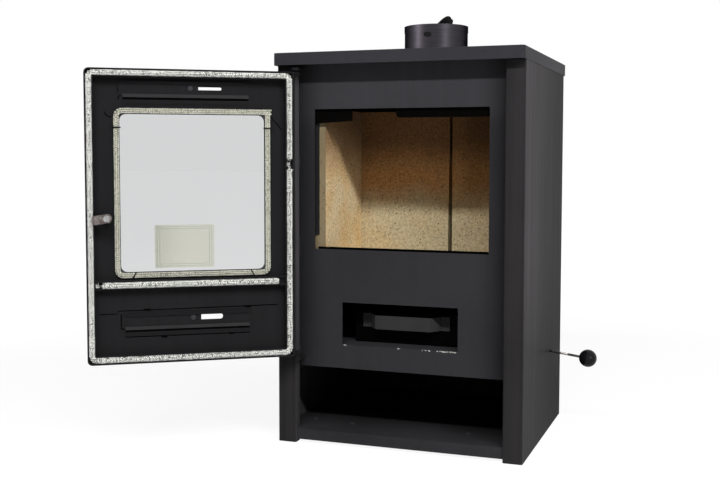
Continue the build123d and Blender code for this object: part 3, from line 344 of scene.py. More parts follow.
# a painted highlight lies along one length of the rod, and the rest of it is painted dark: painted
# shade
steelLook = {
    "tongue": {"colour": (0.145, 0.128, 0.122), "rough": 0.5, "metal": 0.3, "mottle": 1.9},
    "nut": {"colour": (0.36, 0.36, 0.37), "rough": 0.32, "metal": 0.7, "mottle": 1.2},
    "rod": {
        "colour": (0.80, 0.79, 0.77), "rough": 0.24, "metal": 1.0, "mottle": 0.5,
        "glint": (0.261, 0.272), "soft": 0.003, "shadeShare": 0.10, "paintedLight": 1.1,
    },
}

# what all bare steel shares
steelGrain = {
    "blotches": (330.0, 2.0, 0.65), "brush": (1.0, 2.0), "stretch": (300, 40, 40),
    "stains": (90.0, 2.0), "stainAt": (0.42, 0.66), "stainTint": (0.62, 0.50, 0.46),
    "blotch": 2.2, "brushed": 0.2, "blotchRough": 0.2, "bump": (0.12, 0.0005),
}


def bareSteel(name, v, g):
    f = Finish(name)
    place = f.place()
    blotch = f.noise(place, *g["blotches"])
    brushed = f.noise(f.stretched(place, g["stretch"]), *g["brush"])
    stain = f.band(f.noise(place, *g["stains"]), *g["stainAt"]) * v["mottle"]
    mottle = (blotch - 0.5) * v["mottle"] * g["blotch"]
    base = f.shaded(v["colour"], 1.0 + mottle + (brushed - 0.5) * g["brushed"])
    base = f.mix(stain, base, [c * tint for c, tint in zip(v["colour"], g["stainTint"])])
    # a painted highlight along one length, and painted shade beyond it
    if "glint" in v:
        low, high = v["glint"]
        soft = v["soft"]
        paintedLight = f.window(f.axis(place, "X"), low - soft, high + soft, soft)
        base = f.shaded(base, v["shadeShare"] + paintedLight * v["paintedLight"])
    rough = v["rough"] + (blotch - 0.5) * g["blotchRough"]
    return f.surface(
        Base_Color=base, Roughness=rough, Metallic=v["metal"], Normal=f.bump(blotch, *g["bump"])
    )


ironLook = {
    "colour": (0.022, 0.021, 0.021), "rough": 0.66, "metal": 0.1,
    "pits": (380.0, 3.0, 0.7), "least": 0.7, "pit": 0.6, "pitRough": 0.2, "bump": (0.35, 0.0012),
}


def castIron(name, v):
    f = Finish(name)
    pits = f.noise(f.place(), *v["pits"])
    base = f.shaded(v["colour"], v["least"] + pits * v["pit"])
    rough = v["rough"] + (pits - 0.5) * v["pitRough"]
    return f.surface(
        Base_Color=base, Roughness=rough, Metallic=v["metal"], Normal=f.bump(pits, *v["bump"])
    )


# the two pairs of heights over the floor are where one colour gives way to the next: the upper
# bricks darken to warm brown and then dark brown, painted shade under the fire opening's top; the
# side bricks are the same brick painted lighter and warmer, painted light
brickLook = {
    "back": {
        "pale": (0.47, 0.395, 0.25), "warm": (0.46, 0.33, 0.165), "warmShade": (0.45, 0.235, 0.09),
        "deepShade": (0.15, 0.077, 0.032), "speck": (0.05, 0.035, 0.025), "endShade": (0.17, 0.135, 0.08),
        "warmth": 0.45, "warmShadeAt": (0.435, 0.505), "deepShadeAt": (0.50, 0.585), "shade": 0.34,
    },
    # the side bricks are one brick with the back ones, painted lighter and warmer: painted light
    "side": {
        "pale": (0.76, 0.61, 0.375), "warm": (0.72, 0.49, 0.235), "warmShade": (0.50, 0.33, 0.17),
        "deepShade": (0.20, 0.12, 0.06), "speck": (0.06, 0.045, 0.03), "endShade": (0.17, 0.135, 0.08),
        "warmth": 0.8, "warmShadeAt": (0.48, 0.58), "deepShadeAt": (0.52, 0.62), "shade": 0.0,
    },
}

# what all bricks share; a speck has its scale, the edges of its size and its strength
brickGrain = {
    "blotches": (14.0, 4.0, 0.6), "grits": (210.0, 3.0, 0.75), "grit": 1.7,
    "warmAt": (0.38, 0.66), "waver": 0.05,
    "frontEnd": (-0.3678, -0.3683), "endShade": 0.95,
    "shadeAcross": (0.045, 0.09), "shadeUp": (0.44, 0.50),
    "fine": (190.0, (0.28, 0.16), 0.8), "swarms": 40.0, "swarmAt": (0.40, 0.58),
    "big": (75.0, (0.13, 0.08), 0.9),
    "rough": 0.92, "shine": 0.1, "pits": (0.30, 0.0009),
}


def firebrick(name, v, g):
    f = Finish(name)
    place = f.place()
    blotch = f.noise(place, *g["blotches"])
    grit = f.noise(place, *g["grits"])
    base = f.mix(f.band(blotch, *g["warmAt"]) * v["warmth"], v["pale"], v["warm"])
    height = f.axis(place, "Z") + (blotch - 0.5) * g["waver"]
    # painted shade: the upper bricks turn warm brown and then dark brown
    base = f.mix(f.band(height, *v["warmShadeAt"]), base, v["warmShade"])
    base = f.mix(f.band(height, *v["deepShadeAt"]), base, v["deepShade"])
    base = f.shaded(base, 1.0 + (grit - 0.5) * g["grit"])
    # the bricks' front ends are painted dark brown: painted shade
    base = f.mix(f.band(f.axis(place, "Y"), *g["frontEnd"]) * g["endShade"], base, v["endShade"])
    # the upper right of the back wall lies deepest in the shade
    corner = f.band(f.axis(place, "X"), *g["shadeAcross"]) * f.band(height, *g["shadeUp"])
    base = f.shaded(base, 1.0 - corner * v["shade"])
    scale, size, share = g["fine"]
    swarm = f.band(f.noise(place, g["swarms"]), *g["swarmAt"])
    base = f.mix(f.band(f.cells(place, scale), *size) * swarm * share, base, v["speck"])
    scale, size, share = g["big"]
    base = f.mix(f.band(f.cells(place, scale), *size) * share, base, v["speck"])
    return f.surface(
        Base_Color=base, Roughness=g["rough"], Specular_IOR_Level=g["shine"],
        Normal=f.bump(grit, *g["pits"])
    )


# the gap colour is painted shade in a pattern of crevices over each braid, and the two darker looks
# paint each cord's core dark: painted shade under its leaves
braidLook = {
    "white": {
        "colour": (0.92, 0.92, 0.88), "gap": (0.10, 0.10, 0.09), "crevices": 300.0, "depth": 0.9,
    },
    "whiteCoreShade": {
        "colour": (0.22, 0.22, 0.20), "gap": (0.05, 0.05, 0.045), "crevices": 300.0, "depth": 0.9,
    },
    "cream": {
        "colour": (0.66, 0.65, 0.55), "gap": (0.16, 0.16, 0.12), "crevices": 310.0, "depth": 0.75,
    },
    "creamCoreShade": {
        "colour": (0.25, 0.25, 0.19), "gap": (0.06, 0.06, 0.05), "crevices": 310.0, "depth": 0.9,
    },
}


# what all yarn shares
yarnGrain = {
    "fibres": (1900.0, 2.0, 0.6), "least": 0.88, "fibre": 0.24,
    "disorder": 0.5, "crevicesAt": (0.46, 0.66), "rough": 0.9, "sheen": 0.1, "bump": (0.35, 0.0004),
}


def braid(name, v, g):
    f = Finish(name)
    place = f.place()
    fibre = f.noise(place, *g["fibres"])
    # painted shade: a pattern of dark crevices over the braid
    crevices = f.band(f.cells(place, v["crevices"], g["disorder"]), *g["crevicesAt"])
    base = f.shaded(v["colour"], g["least"] + fibre * g["fibre"])
    base = f.mix(crevices * v["depth"], base, v["gap"])
    return f.surface(
        Base_Color=base, Roughness=g["rough"], Sheen_Weight=g["sheen"],
        Normal=f.bump(fibre, *g["bump"])
    )


glassLook = {
    "tint": (0.640, 0.645, 0.650), "clouds": (9.0, 2.0), "least": 0.985, "haze": 0.03, "ior": 1.47,
}


def doorGlass(name, v):
    f = Finish(name)
    haze = f.noise(f.place(), *v["clouds"])
    tint = f.shaded(v["tint"], v["least"] + haze * v["haze"])
    return f.surface(Base_Color=tint, Roughness=0.0, IOR=v["ior"], Transmission_Weight=1.0)


# the sheet lies on the glass, in the door face's millimetres: right along it, up, and out of it;
# its border is two thin lines, in metres from its edges
labelLook = {
    "x": (-66.7, 41.3), "z": (345.0, 424.0), "w": (-4.2, -4.0), "radius": 2.0,
    "colour": (0.88, 0.87, 0.76), "lineColour": (0.66, 0.72, 0.58),
    "lines": (0.0028, 0.0065), "lineWidth": 0.0012, "lineSoft": 0.0004,
    "fibres": (500.0, 3.0), "least": 0.97, "fibre": 0.05, "ior": 1.01, "bump": (0.1, 0.0002),
}


def barePaper(name, v):
    f = Finish(name)
    place = f.place()
    fibre = f.noise(place, *v["fibres"])
    across = f.axis(place, "X")
    height = f.axis(place, "Z")
    left, right = sorted((doorFace @ Vector((x, 0, v["w"][0]))).x for x in v["x"])
    low, high = (z * mm for z in v["z"])

    def inside(inset):
        wide = f.window(across, left + inset, right - inset, v["lineSoft"])
        return wide * f.window(height, low + inset, high - inset, v["lineSoft"])

    base = f.shaded(v["colour"], v["least"] + fibre * v["fibre"])
    for inset in v["lines"]:
        line = inside(inset) - inside(inset + v["lineWidth"])
        base = f.mix(line, base, v["lineColour"])
    return f.surface(
        Base_Color=base, Roughness=0.0, IOR=v["ior"], Transmission_Weight=1.0,
        Normal=f.bump(fibre, *v["bump"])
    )


ballLook = {
    "colour": (0.006, 0.006, 0.007), "clouds": (80.0, 2.0), "least": 0.8, "cloud": 0.4,
    "rough": 0.16, "cloudRough": 0.05, "shine": 0.12, "bump": (0.03, 0.0005),
}


def ballPlastic(name, v):
    f = Finish(name)
    cloud = f.noise(f.place(), *v["clouds"])
    base = f.shaded(v["colour"], v["least"] + cloud * v["cloud"])
    rough = v["rough"] + cloud * v["cloudRough"]
    return f.surface(
        Base_Color=base, Roughness=rough, Specular_IOR_Level=v["shine"],
        Normal=f.bump(cloud, *v["bump"])
    )


frontPaint = paint("stovePaintFront", paintLook["front"])
panelPaint = paint("stovePaintPanel", paintLook["panel"], chipLook["places"])
sidePaint = paint("stovePaintSide", paintLook["side"])
shelfPaint = paint("stovePaintShelf", paintLook["shelf"])
doorPaint = paint("stovePaintDoor", paintLook["door"])
topPaint = paint("stovePaintTop", paintLook["top"])
innerPaint = paint("innerSteelDark", paintLook["inner"])
drawerPaint = paint("drawerSteel", paintLook["drawer"])
drawerBoxShade = paint("drawerBoxShadeBlack", paintLook["drawerBox"])
damperPaint = paint("damperBlack", paintLook["door"])
collarPaint = satin("collarSatin", collarLook)
upperRailPaint = railPaint("upperRailPaint", railLook, railLook["upperLedge"])
lowerRailPaint = railPaint("lowerRailPaint", railLook, railLook["lowerLedge"])
tongueSteel = bareSteel("wornTongueSteel", steelLook["tongue"], steelGrain)
nutSteel = bareSteel("zincNutSteel", steelLook["nut"], steelGrain)
rodSteel = bareSteel("brightRodSteel", steelLook["rod"], steelGrain)
grateIron = castIron("grateIron", ironLook)
backBrick = firebrick("firebrickBack", brickLook["back"], brickGrain)
sideBrick = firebrick("firebrickSide", brickLook["side"], brickGrain)
whiteBraid = braid("ropeWhite", braidLook["white"], yarnGrain)
whiteCoreShade = braid("ropeWhiteCoreShade", braidLook["whiteCoreShade"], yarnGrain)
creamBraid = braid("ropeCream", braidLook["cream"], yarnGrain)
creamCoreShade = braid("ropeCreamCoreShade", braidLook["creamCoreShade"], yarnGrain)
glassClear = doorGlass("windowGlass", glassLook)
labelPaper = barePaper("bareLabel", labelLook)
blackBall = ballPlastic("blackBall", ballLook)

finishOf = {
    frontPaint: ["shelf_screws", "ash_floor"],
    shelfPaint: ["compartment_shelf"],
    panelPaint: ["front_panel"],
    sidePaint: ["side_panel_left", "side_panel_right", "back_panel"],
    doorPaint: [
        "door_skin", "door_seal_channel", "door_crossbar", "retaining_strips",
        "upper_slider", "lower_slider", "door_lugs", "latch_bush", "glass_clips",
        "latch_handle", "hinge_brackets", "hinge_pins",
    ],
    upperRailPaint: ["upper_slider_rails"],
    lowerRailPaint: ["lower_slider_rails"],
    topPaint: ["top_plate"],
    innerPaint: [
        "firebox_side_left", "firebox_side_right", "firebox_back", "firebox_floor",
        "log_guard", "baffle_bracket_left", "baffle_bracket_right", "baffle_plate",
        "compartment_ceiling", "shutter_guides", "air_shutter", "roof_plate",
    ],
    drawerPaint: ["drawer_handle", "drawer_rivets"],
    drawerBoxShade: ["drawer_box"],
    collarPaint: ["flue_collar", "upper_slider_knob", "lower_slider_knob"],
    damperPaint: ["damper_disc", "damper_axle", "damper_handle"],
    tongueSteel: ["latch_tongue"],
    nutSteel: ["latch_nut", "latch_spindle"],
    rodSteel: ["air_rod"],
    grateIron: ["grate"],
    backBrick: ["back_brick_left", "back_brick_right"],
    sideBrick: [
        "side_brick_left", "side_brick_right", "floor_bricks_sides", "floor_bricks_ends",
    ],
    whiteBraid: ["door_rope", "crossbar_rope"],
    creamBraid: ["window_gasket"],
    glassClear: ["window_glass"],
    labelPaper: ["glass_label"],
    blackBall: ["air_knob"],
}
for finish, names in finishOf.items():
    for name in names:
        for slot in nodes[name].material_slots:
            slot.material = finish
bare = sorted(set(nodes) - {name for names in finishOf.values() for name in names})
print("stage: materials, nodes without one:", bare)


# making pieces


class Steps:
    # the nodes of a geometry tree; a value may be a number, a vector or another node's output
    def __init__(self, name, inputs):
        self.tree = bpy.data.node_groups.new(name, "GeometryNodeTree")
        face = self.tree.interface
        face.new_socket("Geometry", in_out="INPUT", socket_type="NodeSocketGeometry")
        for label, (kind, value) in inputs.items():
            socket = face.new_socket(label, in_out="INPUT", socket_type=kind)
            if value is not None:
                socket.default_value = value
        face.new_socket("Geometry", in_out="OUTPUT", socket_type="NodeSocketGeometry")
        self.source = self.tree.nodes.new("NodeGroupInput")

    def value(self, label):
        return self.source.outputs[label]

    def node(self, kind, settings=None, inputs=None, output=0):
        made = self.tree.nodes.new(kind)
        for key, value in (settings or {}).items():
            setattr(made, key, value)
        for key, value in (inputs or {}).items():
            for item in value if isinstance(value, list) else [value]:
                if isinstance(item, bpy.types.NodeSocket):
                    self.tree.links.new(item, made.inputs[key])
                else:
                    made.inputs[key].default_value = item
        return made.outputs[output] if made.outputs else None

    def maths(self, operation, first, second):
        return self.node("ShaderNodeMath", {"operation": operation}, {0: first, 1: second})

    def spots(self, path):
        inputs = {"Curve": path, "Length": self.value("Pitch")}
        return self.node("GeometryNodeCurveToPoints", {"mode": "LENGTH"}, inputs)

    def between(self, least, most):
        # a random number for each spot
        inputs = {2: least, 3: most, "Seed": self.value("Seed")}
        return self.node("FunctionNodeRandomValue", {"data_type": "FLOAT"}, inputs, 1)

    def end(self, geometry):
        real = self.node("GeometryNodeRealizeInstances", {}, {"Geometry": geometry})
        smooth = self.node("GeometryNodeSetShadeSmooth", {}, {0: real})
        painted = self.node("GeometryNodeSetMaterial", {}, {
            "Geometry": smooth, "Material": self.value("Finish"),
        })
        self.node("NodeGroupOutput", {}, {0: painted})
        return self.tree


def polyLine(name, runs):
    line = bpy.data.curves.new(name, "CURVE")
    line.dimensions = "3D"
    for run in runs:
        spline = line.splines.new("POLY")
        spline.points.add(len(run) - 1)
        for point, place in zip(spline.points, run):
            point.co = (*place, 1.0)
    holder = bpy.data.objects.new(name + "Path", line)
    scene.collection.objects.link(holder)
    return holder


def grown(holder, tree, values):
    # runs a geometry tree on a holder and gives back the plain mesh
    modifier = holder.modifiers.new("grow", "NODES")
    modifier.node_group = tree
    for item in tree.interface.items_tree:
        if item.item_type == "SOCKET" and item.in_out == "INPUT" and item.name in values:
            modifier[item.identifier] = values[item.name]
    bpy.context.view_layer.update()
    evaluated = holder.evaluated_get(bpy.context.evaluated_depsgraph_get())
    made = bpy.data.meshes.new_from_object(evaluated)
    bpy.data.objects.remove(holder)
    return made


def settled(name, mesh, matrix, body, finish, replaced=()):
    # puts a mesh in its place for good and says what it rides on and stands for
    mesh.name = name
    mesh.transform(matrix)
    mesh.materials.clear()
    mesh.materials.append(finish)
    piece = bpy.data.objects.new(name, mesh)
    scene.collection.objects.link(piece)
    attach(piece, body)
    if replaced:
        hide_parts(*replaced)
    return piece


def roundedRun(left, right, low, high, radius, height, gap=None, steps=7):
    # a rounded rectangle, anticlockwise from the gap's upper end, or from its upper right corner
    corners = [
        (right - radius, high - radius, 0), (left + radius, high - radius, 90),
        (left + radius, low + radius, 180), (right - radius, low + radius, 270),
    ]
    points = [(right, gap[1], height)] if gap else []
    for x, y, start in corners:
        for step in range(steps + 1):
            turn = math.radians(start + 90 * step / steps)
            points.append((x + radius * math.cos(turn), y + radius * math.sin(turn), height))
    if gap:
        points.append((right, gap[0], height))
    return points


def tubeTree():
    # a plain tube along a path, wider than it is high
    steps = Steps("tubeTree", {
        "Half width": ("NodeSocketFloat", 1.0),
        "Half height": ("NodeSocketFloat", 0.7),
        "Finish": ("NodeSocketMaterial", None),
    })
    path = steps.node("GeometryNodeSetCurveNormal", {"mode": "Z_UP"}, {0: steps.value("Geometry")})
    shape = steps.node("ShaderNodeCombineXYZ", {}, {
        0: steps.value("Half width"), 1: steps.value("Half height"), 2: 1.0,
    })
    ring = steps.node("GeometryNodeCurvePrimitiveCircle", {"mode": "RADIUS"}, {
        "Resolution": 12, "Radius": 1.0,
    })
    ring = steps.node("GeometryNodeTransform", {}, {"Geometry": ring, "Scale": shape})
    tube = steps.node("GeometryNodeCurveToMesh", {}, {
        "Curve": path, "Profile Curve": ring, "Fill Caps": True,
    })
    return steps.end(tube)


def tubeRuns(name, runs, half, finish):
    mesh = grown(polyLine(name, runs), tubeTree(), {
        "Half width": half[0], "Half height": half[1], "Finish": finish,
    })
    return settled(name, mesh, doorFace, "door", finish)


def ropeTree(name, columns, leaf):
    # rows of plump leaves; each column's leaves lean against their neighbours'
    steps = Steps(name, {
        "Pitch": ("NodeSocketFloat", 3.4),
        "Unevenness": ("NodeSocketFloat", 0.08),
        "Seed": ("NodeSocketInt", 3),
        "Finish": ("NodeSocketMaterial", None),
    })
    path = steps.node("GeometryNodeSetCurveNormal", {"mode": "Z_UP"}, {0: steps.value("Geometry")})
    plump = steps.node("GeometryNodeMeshUVSphere", {}, {"Segments": 6, "Rings": 4, "Radius": 1.0})
    row = steps.node("GeometryNodeJoinGeometry", {}, {0: [
        steps.node("GeometryNodeTransform", {}, {
            "Geometry": plump,
            "Translation": (shift, across, up),
            "Rotation": Euler((math.radians(roll), 0, math.radians(lean)), "ZYX"),
            "Scale": leaf,
        })
        for across, up, roll, lean, shift in columns
    ]})
    spots = steps.spots(path)
    axes = {"primary_axis": "Z", "secondary_axis": "X"}
    aim = steps.node("FunctionNodeAxesToRotation", axes, {
        "Primary Axis": (0, 0, 1), "Secondary Axis": spots.node.outputs["Tangent"],
    })
    least = steps.maths("SUBTRACT", 1.0, steps.value("Unevenness"))
    most = steps.maths("ADD", 1.0, steps.value("Unevenness"))
    leaves = steps.node("GeometryNodeInstanceOnPoints", {}, {
        "Points": spots, "Instance": row, "Rotation": aim, "Scale": steps.between(least, most),
    })
    return steps.end(leaves)


def braided(name, v, run, columns, finish):
    # the leaves of one cord, as a plain mesh
    return grown(polyLine(name, [run]), ropeTree(name + "Tree", columns, v["leaf"]), {
        "Pitch": v["pitch"], "Unevenness": v["uneven"], "Seed": v["seed"], "Finish": finish,
    })


# degrees from the cord's top, and how far neighbours stand apart along it as a share of the pitch
domeRow = {"angles": (-80, -40, 0, 40, 80), "shift": 0.25}


def domeColumns(v):
    # columns of leaves over a cord's round top
    halfWidth, halfHeight = v["dome"]
    columns = []
    for place, angle in enumerate(domeRow["angles"]):
        turn = math.radians(angle)
        side = 1 if place % 2 else -1
        across = halfWidth * math.sin(turn)
        up = halfHeight * math.cos(turn)
        shift = domeRow["shift"] * v["pitch"] * side
        columns.append((across, up, -angle, side * v["lean"], shift))
    return columns


# loose yarns: how far they fan, curl and scatter, and their half thickness along them
frayLook = {
    "fan": 0.55, "curl": 0.35, "scatter": 2.6, "root": 0.75, "tip": 0.12, "rings": 4,
    "corners": (0, 2.094, 4.189),
}


def anyVector(chance, size):
    return Vector([chance.uniform(-1, 1) for axis in range(3)]) * size


def frayed(ends, seed, v):
    # thin tapering three-sided wisps fanned about a direction
    chance = random.Random(seed)
    made = bmesh.new()
    for place, direction, count, length in ends:
        for yarn in range(count):
            heading = (Vector(direction) + anyVector(chance, v["fan"])).normalized()
            bend = anyVector(chance, v["curl"])
            start = Vector(place) + anyVector(chance, v["scatter"])
            reach = length * chance.uniform(0.5, 1.0)
            side = heading.orthogonal().normalized()
            other = heading.cross(side)
            rings = []
            for ring in range(v["rings"]):
                along = ring / (v["rings"] - 1)
                centre = start + heading * reach * along + bend * reach * along * along
                radius = v["root"] * (1 - along) + v["tip"]
                rings.append([
                    made.verts.new(centre + (side * math.cos(a) + other * math.sin(a)) * radius)
                    for a in v["corners"]
                ])
            for low, high in zip(rings, rings[1:]):
                for corner in range(3):
                    after = (corner + 1) % 3
                    made.faces.new((low[corner], low[after], high[after], high[corner]))
            made.faces.new(rings[0][::-1])
            made.faces.new(rings[-1])
    for face in made.faces:
        face.smooth = True
    return made


def addFray(mesh, ends, seed):
    made = frayed(ends, seed, frayLook)
    made.from_mesh(mesh)
    made.to_mesh(mesh)
    made.free()


# ropes and the window tape, in the door face's millimetres; a fray has its place, its direction,
# and how many yarns it has and how long they are

doorRope = {
    "left": -180.0, "right": 180.0, "low": 182.0, "high": 697.0, "radius": 8.2, "centre": 11.9,
    "gap": (523.0, 546.5), "pitch": 4.1, "leaf": (2.0, 1.7, 1.2), "lean": 30, "seed": 4,
    "dome": (4.05, 4.55), "uneven": 0.06, "core": (4.1, 4.6),
    "frays": [
        ((180.0, 546.5, 11.9), (0, -1, 0.2), 12, 6),
        ((180.0, 523.0, 11.9), (0, 1, 0.3), 12, 7),
        ((179.0, 532.0, 8.9), (-0.2, 1, 0.3), 12, 7),
    ],
}

crossRope = {
    "left": -157.6, "right": 156.2, "height": 317.0, "centre": 11.9,
    "pitch": 4.1, "leaf": (2.0, 1.9, 1.0), "lean": 30, "seed": 9,
    "dome": (4.75, 4.55), "uneven": 0.03, "core": (4.7, 4.6),
    "frays": [
        ((-157.6, 317.0, 11.9), (-1, 0, 0), 10, 4),
        ((156.2, 317.0, 11.9), (1, 0, 0), 10, 4),
        ((-169.0, 315.0, 7.9), (0.1, 1, -0.2), 16, 6),
    ],
}


def whiteRope(name, braidName, v, run, nodeName):
    mesh = braided(name, v, run, domeColumns(v), whiteBraid)
    # the cord's core is painted dark: painted shade under its leaves
    tubeRuns(name + "Core", [run], v["core"], whiteCoreShade)
    addFray(mesh, v["frays"], v["seed"])
    return settled(braidName, mesh, doorFace, "door", whiteBraid, [nodeName])


def makeDoorRope(v):
    sides = [v[side] for side in ("left", "right", "low", "high")]
    run = roundedRun(*sides, v["radius"], v["centre"], v["gap"])
    return whiteRope("doorRope", "doorRopeBraid", v, run, "door_rope")


def makeCrossRope(v):
    run = [(end, v["height"], v["centre"]) for end in (v["left"], v["right"])]
    return whiteRope("crossRope", "crossbarRopeBraid", v, run, "crossbar_rope")


# column: how far the side leaves lie out and up, and their roll; tails: the ends past the corner
windowTape = {
    "centre": (4.25, 481.7), "half": (137.0, 148.7), "radius": 10.0, "height": -2.0,
    "pitch": 4.1, "leaf": (2.0, 1.7, 0.9), "lean": 20, "seed": 6, "uneven": 0.05,
    "column": (3.4, 2.3, 14), "middle": 2.6, "shift": 1.15, "tails": (4.6, 4.2),
    "core": (4.5, 2.4),
}


def makeWindowTape(v):
    # the tape starts and ends at the upper right corner, where its square end shows
    x, z = v["centre"]
    halfX, halfZ = v["half"]
    right, high, height = x + halfX, z + halfZ, v["height"]
    points = roundedRun(x - halfX, right, z - halfZ, high, v["radius"], height)
    afterCorner = points[len(points) // 4:]
    run = [(right + v["tails"][0], high, height), *afterCorner]
    run.append((right, high - v["tails"][1], height))
    out, up, roll = v["column"]
    lean, shift = v["lean"], v["shift"]
    mesh = braided("windowTape", v, run, [
        (-out, up, roll, -lean, -shift), (0.0, v["middle"], 0, lean, shift),
        (out, up, -roll, -lean, -shift),
    ], creamBraid)
    # the tape's core is painted dark: painted shade under its leaves
    tubeRuns("windowTapeCore", [run], v["core"], creamCoreShade)
    return settled(
        "windowTapeWeave", mesh, doorFace, "door", creamBraid, ["window_gasket"]
    )


def makeLabel(v):
    # a thin flat sheet of its own, so that nothing bends the light through it
    points = roundedRun(*v["x"], *v["z"], v["radius"], 0.0)
    made = bmesh.new()
    low, high = ([made.verts.new((x, z, w)) for x, z, height in points] for w in v["w"])
    made.faces.new(low[::-1])
    made.faces.new(high)
    for corner in range(len(points)):
        after = (corner + 1) % len(points)
        made.faces.new((low[corner], low[after], high[after], high[corner]))
    mesh = bpy.data.meshes.new("bareLabelSheet")
    made.to_mesh(mesh)
    made.free()
    return settled(
        "bareLabelSheet", mesh, doorFace, "door", labelPaper, ["glass_label"]
    )


makeDoorRope(doorRope)
makeCrossRope(crossRope)
makeWindowTape(windowTape)
makeLabel(labelLook)
print("stage: ropes")


# weld beads; a pitch and the least bead are shares of the size

weldLook = {
    "seed": 5, "pitch": 0.9, "least": 0.75,
    "corner": {"size": 2.3, "runs": [
        [(-200.6, 18.4, 530), (-200.6, 18.4, 552)],
        [(-200.6, 18.4, 360), (-200.6, 18.4, 396)],
        [(-200.6, 18.4, 158), (-200.6, 18.4, 184)],
    ]},
    "flange": {"size": 1.9, "runs": [
        [(-86, 269.5, -4.2), (-76, 269.5, -4.2)],
        [(99, 269.5, -4.2), (109, 269.5, -4.2)],
        [(-55, 218.6, -4.6), (-47, 218.6, -4.6)],
        [(68, 220.2, -4.6), (76, 220.2, -4.6)],
    ]},
}


def weldTree():
    steps = Steps("weldTree", {
        "Pitch": ("NodeSocketFloat", 2.2),
        "Size": ("NodeSocketFloat", 2.2),
        "Seed": ("NodeSocketInt", 5),
        "Finish": ("NodeSocketMaterial", None),
    })
    drop = steps.node("GeometryNodeMeshUVSphere", {}, {"Segments": 9, "Rings": 6, "Radius": 1.0})
    least = steps.maths("MULTIPLY", steps.value("Size"), weldLook["least"])
    beads = steps.node("GeometryNodeInstanceOnPoints", {}, {
        "Points": steps.spots(steps.value("Geometry")), "Instance": drop,
        "Scale": steps.between(least, steps.value("Size")),
    })
    return steps.end(beads)


def weldRuns(name, v, matrix, body, finish):
    mesh = grown(polyLine(name, v["runs"]), weldTree(), {
        "Pitch": v["size"] * weldLook["pitch"], "Size": v["size"], "Seed": weldLook["seed"],
        "Finish": finish,
    })
    return settled(name, mesh, matrix, body, finish)


weldRuns("cornerWelds", weldLook["corner"], stoveFrame, "stove", frontPaint)
weldRuns("flangeWelds", weldLook["flange"], doorFace, "door", innerPaint)
print("stage: welds")


# painted shadow lines on the door's inner face, along the edges of its flanges and under its lips,
# and dark marks on it

darkLineLook = {
    # painted shadow along the lower edges of the flanges
    "sheetSeams": {"half": (1.0, 0.7), "runs": [
        [(-165.8, 263.2, -5.3), (-134.4, 263.2, -5.3), (-133.4, 268.2, -5.3), (158.6, 270.6, -5.3)],
        [(-128.0, 262.0, -5.3), (-128.0, 235.0, -5.3), (-121.6, 235.0, -5.3)],
        [(-120.6, 220.2, -5.3), (106.0, 220.2, -5.3)],
    ]},
    # painted shadow under the lips of the slider rails
    "lipSeams": {"half": (1.9, 0.6), "runs": [
        [(-120.4, 652.5, -3.9), (105.9, 652.5, -3.9)],
        [(-120.4, 231.0, -3.9), (105.9, 231.0, -3.9)],
    ]},
    "doorScars": {"half": (0.9, 0.8), "runs": [
        [(-153, 629, -5.3), (-150, 623, -5.3), (-145, 619.5, -5.3), (-141, 619, -5.3)],
        [(149, 620, -5.3), (158, 611, -5.3), (168, 598, -5.3)],
        [(-127, 674, -5.3), (-129, 667, -5.3), (-126, 660, -5.3), (-128.5, 650, -5.3)],
    ]},
}
# black for the painted shadow lines and the dark marks
darkLineBlack = paint("darkLineBlack", paintLook["inner"])
for name, v in darkLineLook.items():
    tubeRuns(name, v["runs"], v["half"], darkLineBlack)
print("stage: darkLines")


# camera, light and floor

cameraLook = {
    "place": (0.59411, -2.22412, 0.55068), "yaw": 0.34638, "pitch": 0.06360, "roll": 0.00146,
    "lens": 52.392, "sensor": 36, "shift": (-0.00460, -0.02467), "clip": (0.05, 100),
}


def makeCamera(v):
    yaw, pitch, roll = v["yaw"], v["pitch"], v["roll"]
    level = math.cos(pitch)
    forward = Vector((-math.sin(yaw) * level, math.cos(yaw) * level, -math.sin(pitch)))
    right = Vector((math.cos(yaw), math.sin(yaw), 0))
    up = right.cross(forward)
    rolledRight = right * math.cos(roll) + up * math.sin(roll)
    rolledUp = up * math.cos(roll) - right * math.sin(roll)
    turn = Matrix((rolledRight, rolledUp, -forward)).transposed().to_4x4()
    data = bpy.data.cameras.new("camera")
    data.sensor_width = v["sensor"]
    data.lens = v["lens"]
    data.shift_x, data.shift_y = v["shift"]
    data.clip_start, data.clip_end = v["clip"]
    camera = bpy.data.objects.new("camera", data)
    scene.collection.objects.link(camera)
    camera.matrix_world = Matrix.Translation(v["place"]) @ turn
    scene.camera = camera


# the strip only lights; the two boxes only give the round pieces their highlights
lampLook = {
    "frontStrip": {
        "place": (2.2, -3.0, 2.92), "aim": (2.2, 0, 0.5), "size": (5.6, 0.2), "power": 255,
        "mirrored": False,
    },
    "rightBox": {
        "place": (2.1, -2.0, 1.1), "aim": (0, -0.14, 0.7), "size": (0.3, 0.9), "power": 17,
        "mirrored": True,
    },
    "leftBox": {
        "place": (-2.0, -1.7, 1.1), "aim": (0, -0.14, 0.7), "size": (0.3, 0.9), "power": 21,
        "mirrored": True,
    },
}


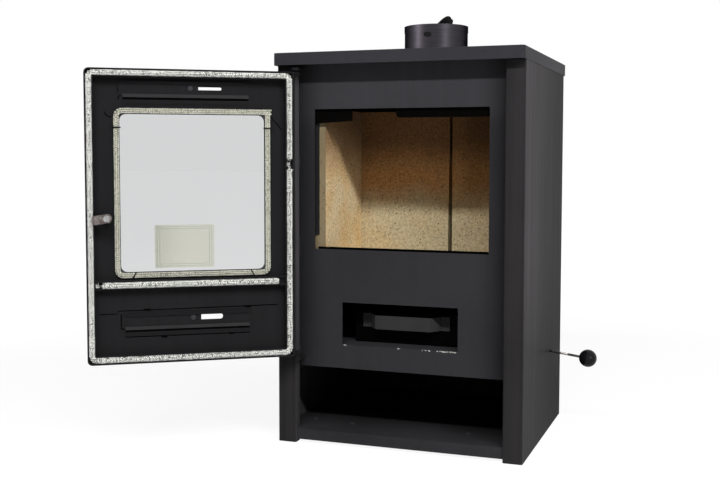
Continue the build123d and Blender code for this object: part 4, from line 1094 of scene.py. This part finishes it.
def makeLamp(name, v):
    data = bpy.data.lights.new(name, "AREA")
    data.shape = "RECTANGLE"
    data.size, data.size_y = v["size"]
    data.energy = v["power"]
    lamp = bpy.data.objects.new(name, data)
    scene.collection.objects.link(lamp)
    lamp.location = v["place"]
    aim = Vector(v["aim"]) - Vector(v["place"])
    lamp.rotation_euler = aim.to_track_quat("-Z", "Y").to_euler()
    lamp.visible_glossy = v["mirrored"]
    lamp.visible_diffuse = not v["mirrored"]


worldLook = {"light": 0.15, "backdrop": 1.0}


def makeWorld(v):
    f = Finish("studio", world=True)
    strength = f.node("ShaderNodeMapRange", {}, {
        "Value": f.seen(), "To Min": v["light"], "To Max": v["backdrop"],
    })
    light = f.node("ShaderNodeBackground", {}, {"Color": (1, 1, 1), "Strength": strength})
    f.node("ShaderNodeOutputWorld", {}, {"Surface": light})
    scene.world = f.holder


# glow is the pale floor's light where it is seen, near and far from the stove
floorLook = {
    "half": 30, "under": -0.0002, "plain": (0.8, 0.8, 0.8), "pale": (0.14, 0.14, 0.14),
    "glow": (0.90, 0.10), "glowAt": (0.9, 2.4),
}


def makeFloor(v):
    # a pale plain floor that reads white and keeps a soft shadow
    made = bmesh.new()
    bmesh.ops.create_grid(made, x_segments=1, y_segments=1, size=v["half"])
    mesh = bpy.data.meshes.new("floor")
    made.to_mesh(mesh)
    made.free()
    mesh.transform(Matrix.Translation((0, 0, v["under"])))
    f = Finish("paleFloor")
    plain = f.node("ShaderNodeBsdfDiffuse", {}, {"Color": v["plain"]}, "BSDF")
    pale = f.node("ShaderNodeBsdfDiffuse", {}, {"Color": v["pale"]}, "BSDF")
    away = f.node("ShaderNodeVectorMath", {"operation": "LENGTH"}, {0: f.place()}, "Value")
    near, more = v["glow"]
    strength = near + f.band(away, *v["glowAt"]) * more
    glow = f.node("ShaderNodeEmission", {}, {"Color": (1, 1, 1), "Strength": strength}, "Emission")
    lit = f.node("ShaderNodeAddShader", {}, {0: pale, 1: glow})
    both = f.node("ShaderNodeMixShader", {}, {0: f.seen(), 1: plain, 2: lit})
    f.node("ShaderNodeOutputMaterial", {}, {"Surface": both})
    mesh.materials.append(f.holder)
    floor = bpy.data.objects.new("floor", mesh)
    scene.collection.objects.link(floor)


makeCamera(cameraLook)
for name, v in lampLook.items():
    makeLamp(name, v)
makeWorld(worldLook)
makeFloor(floorLook)
print("stage: camera and light")
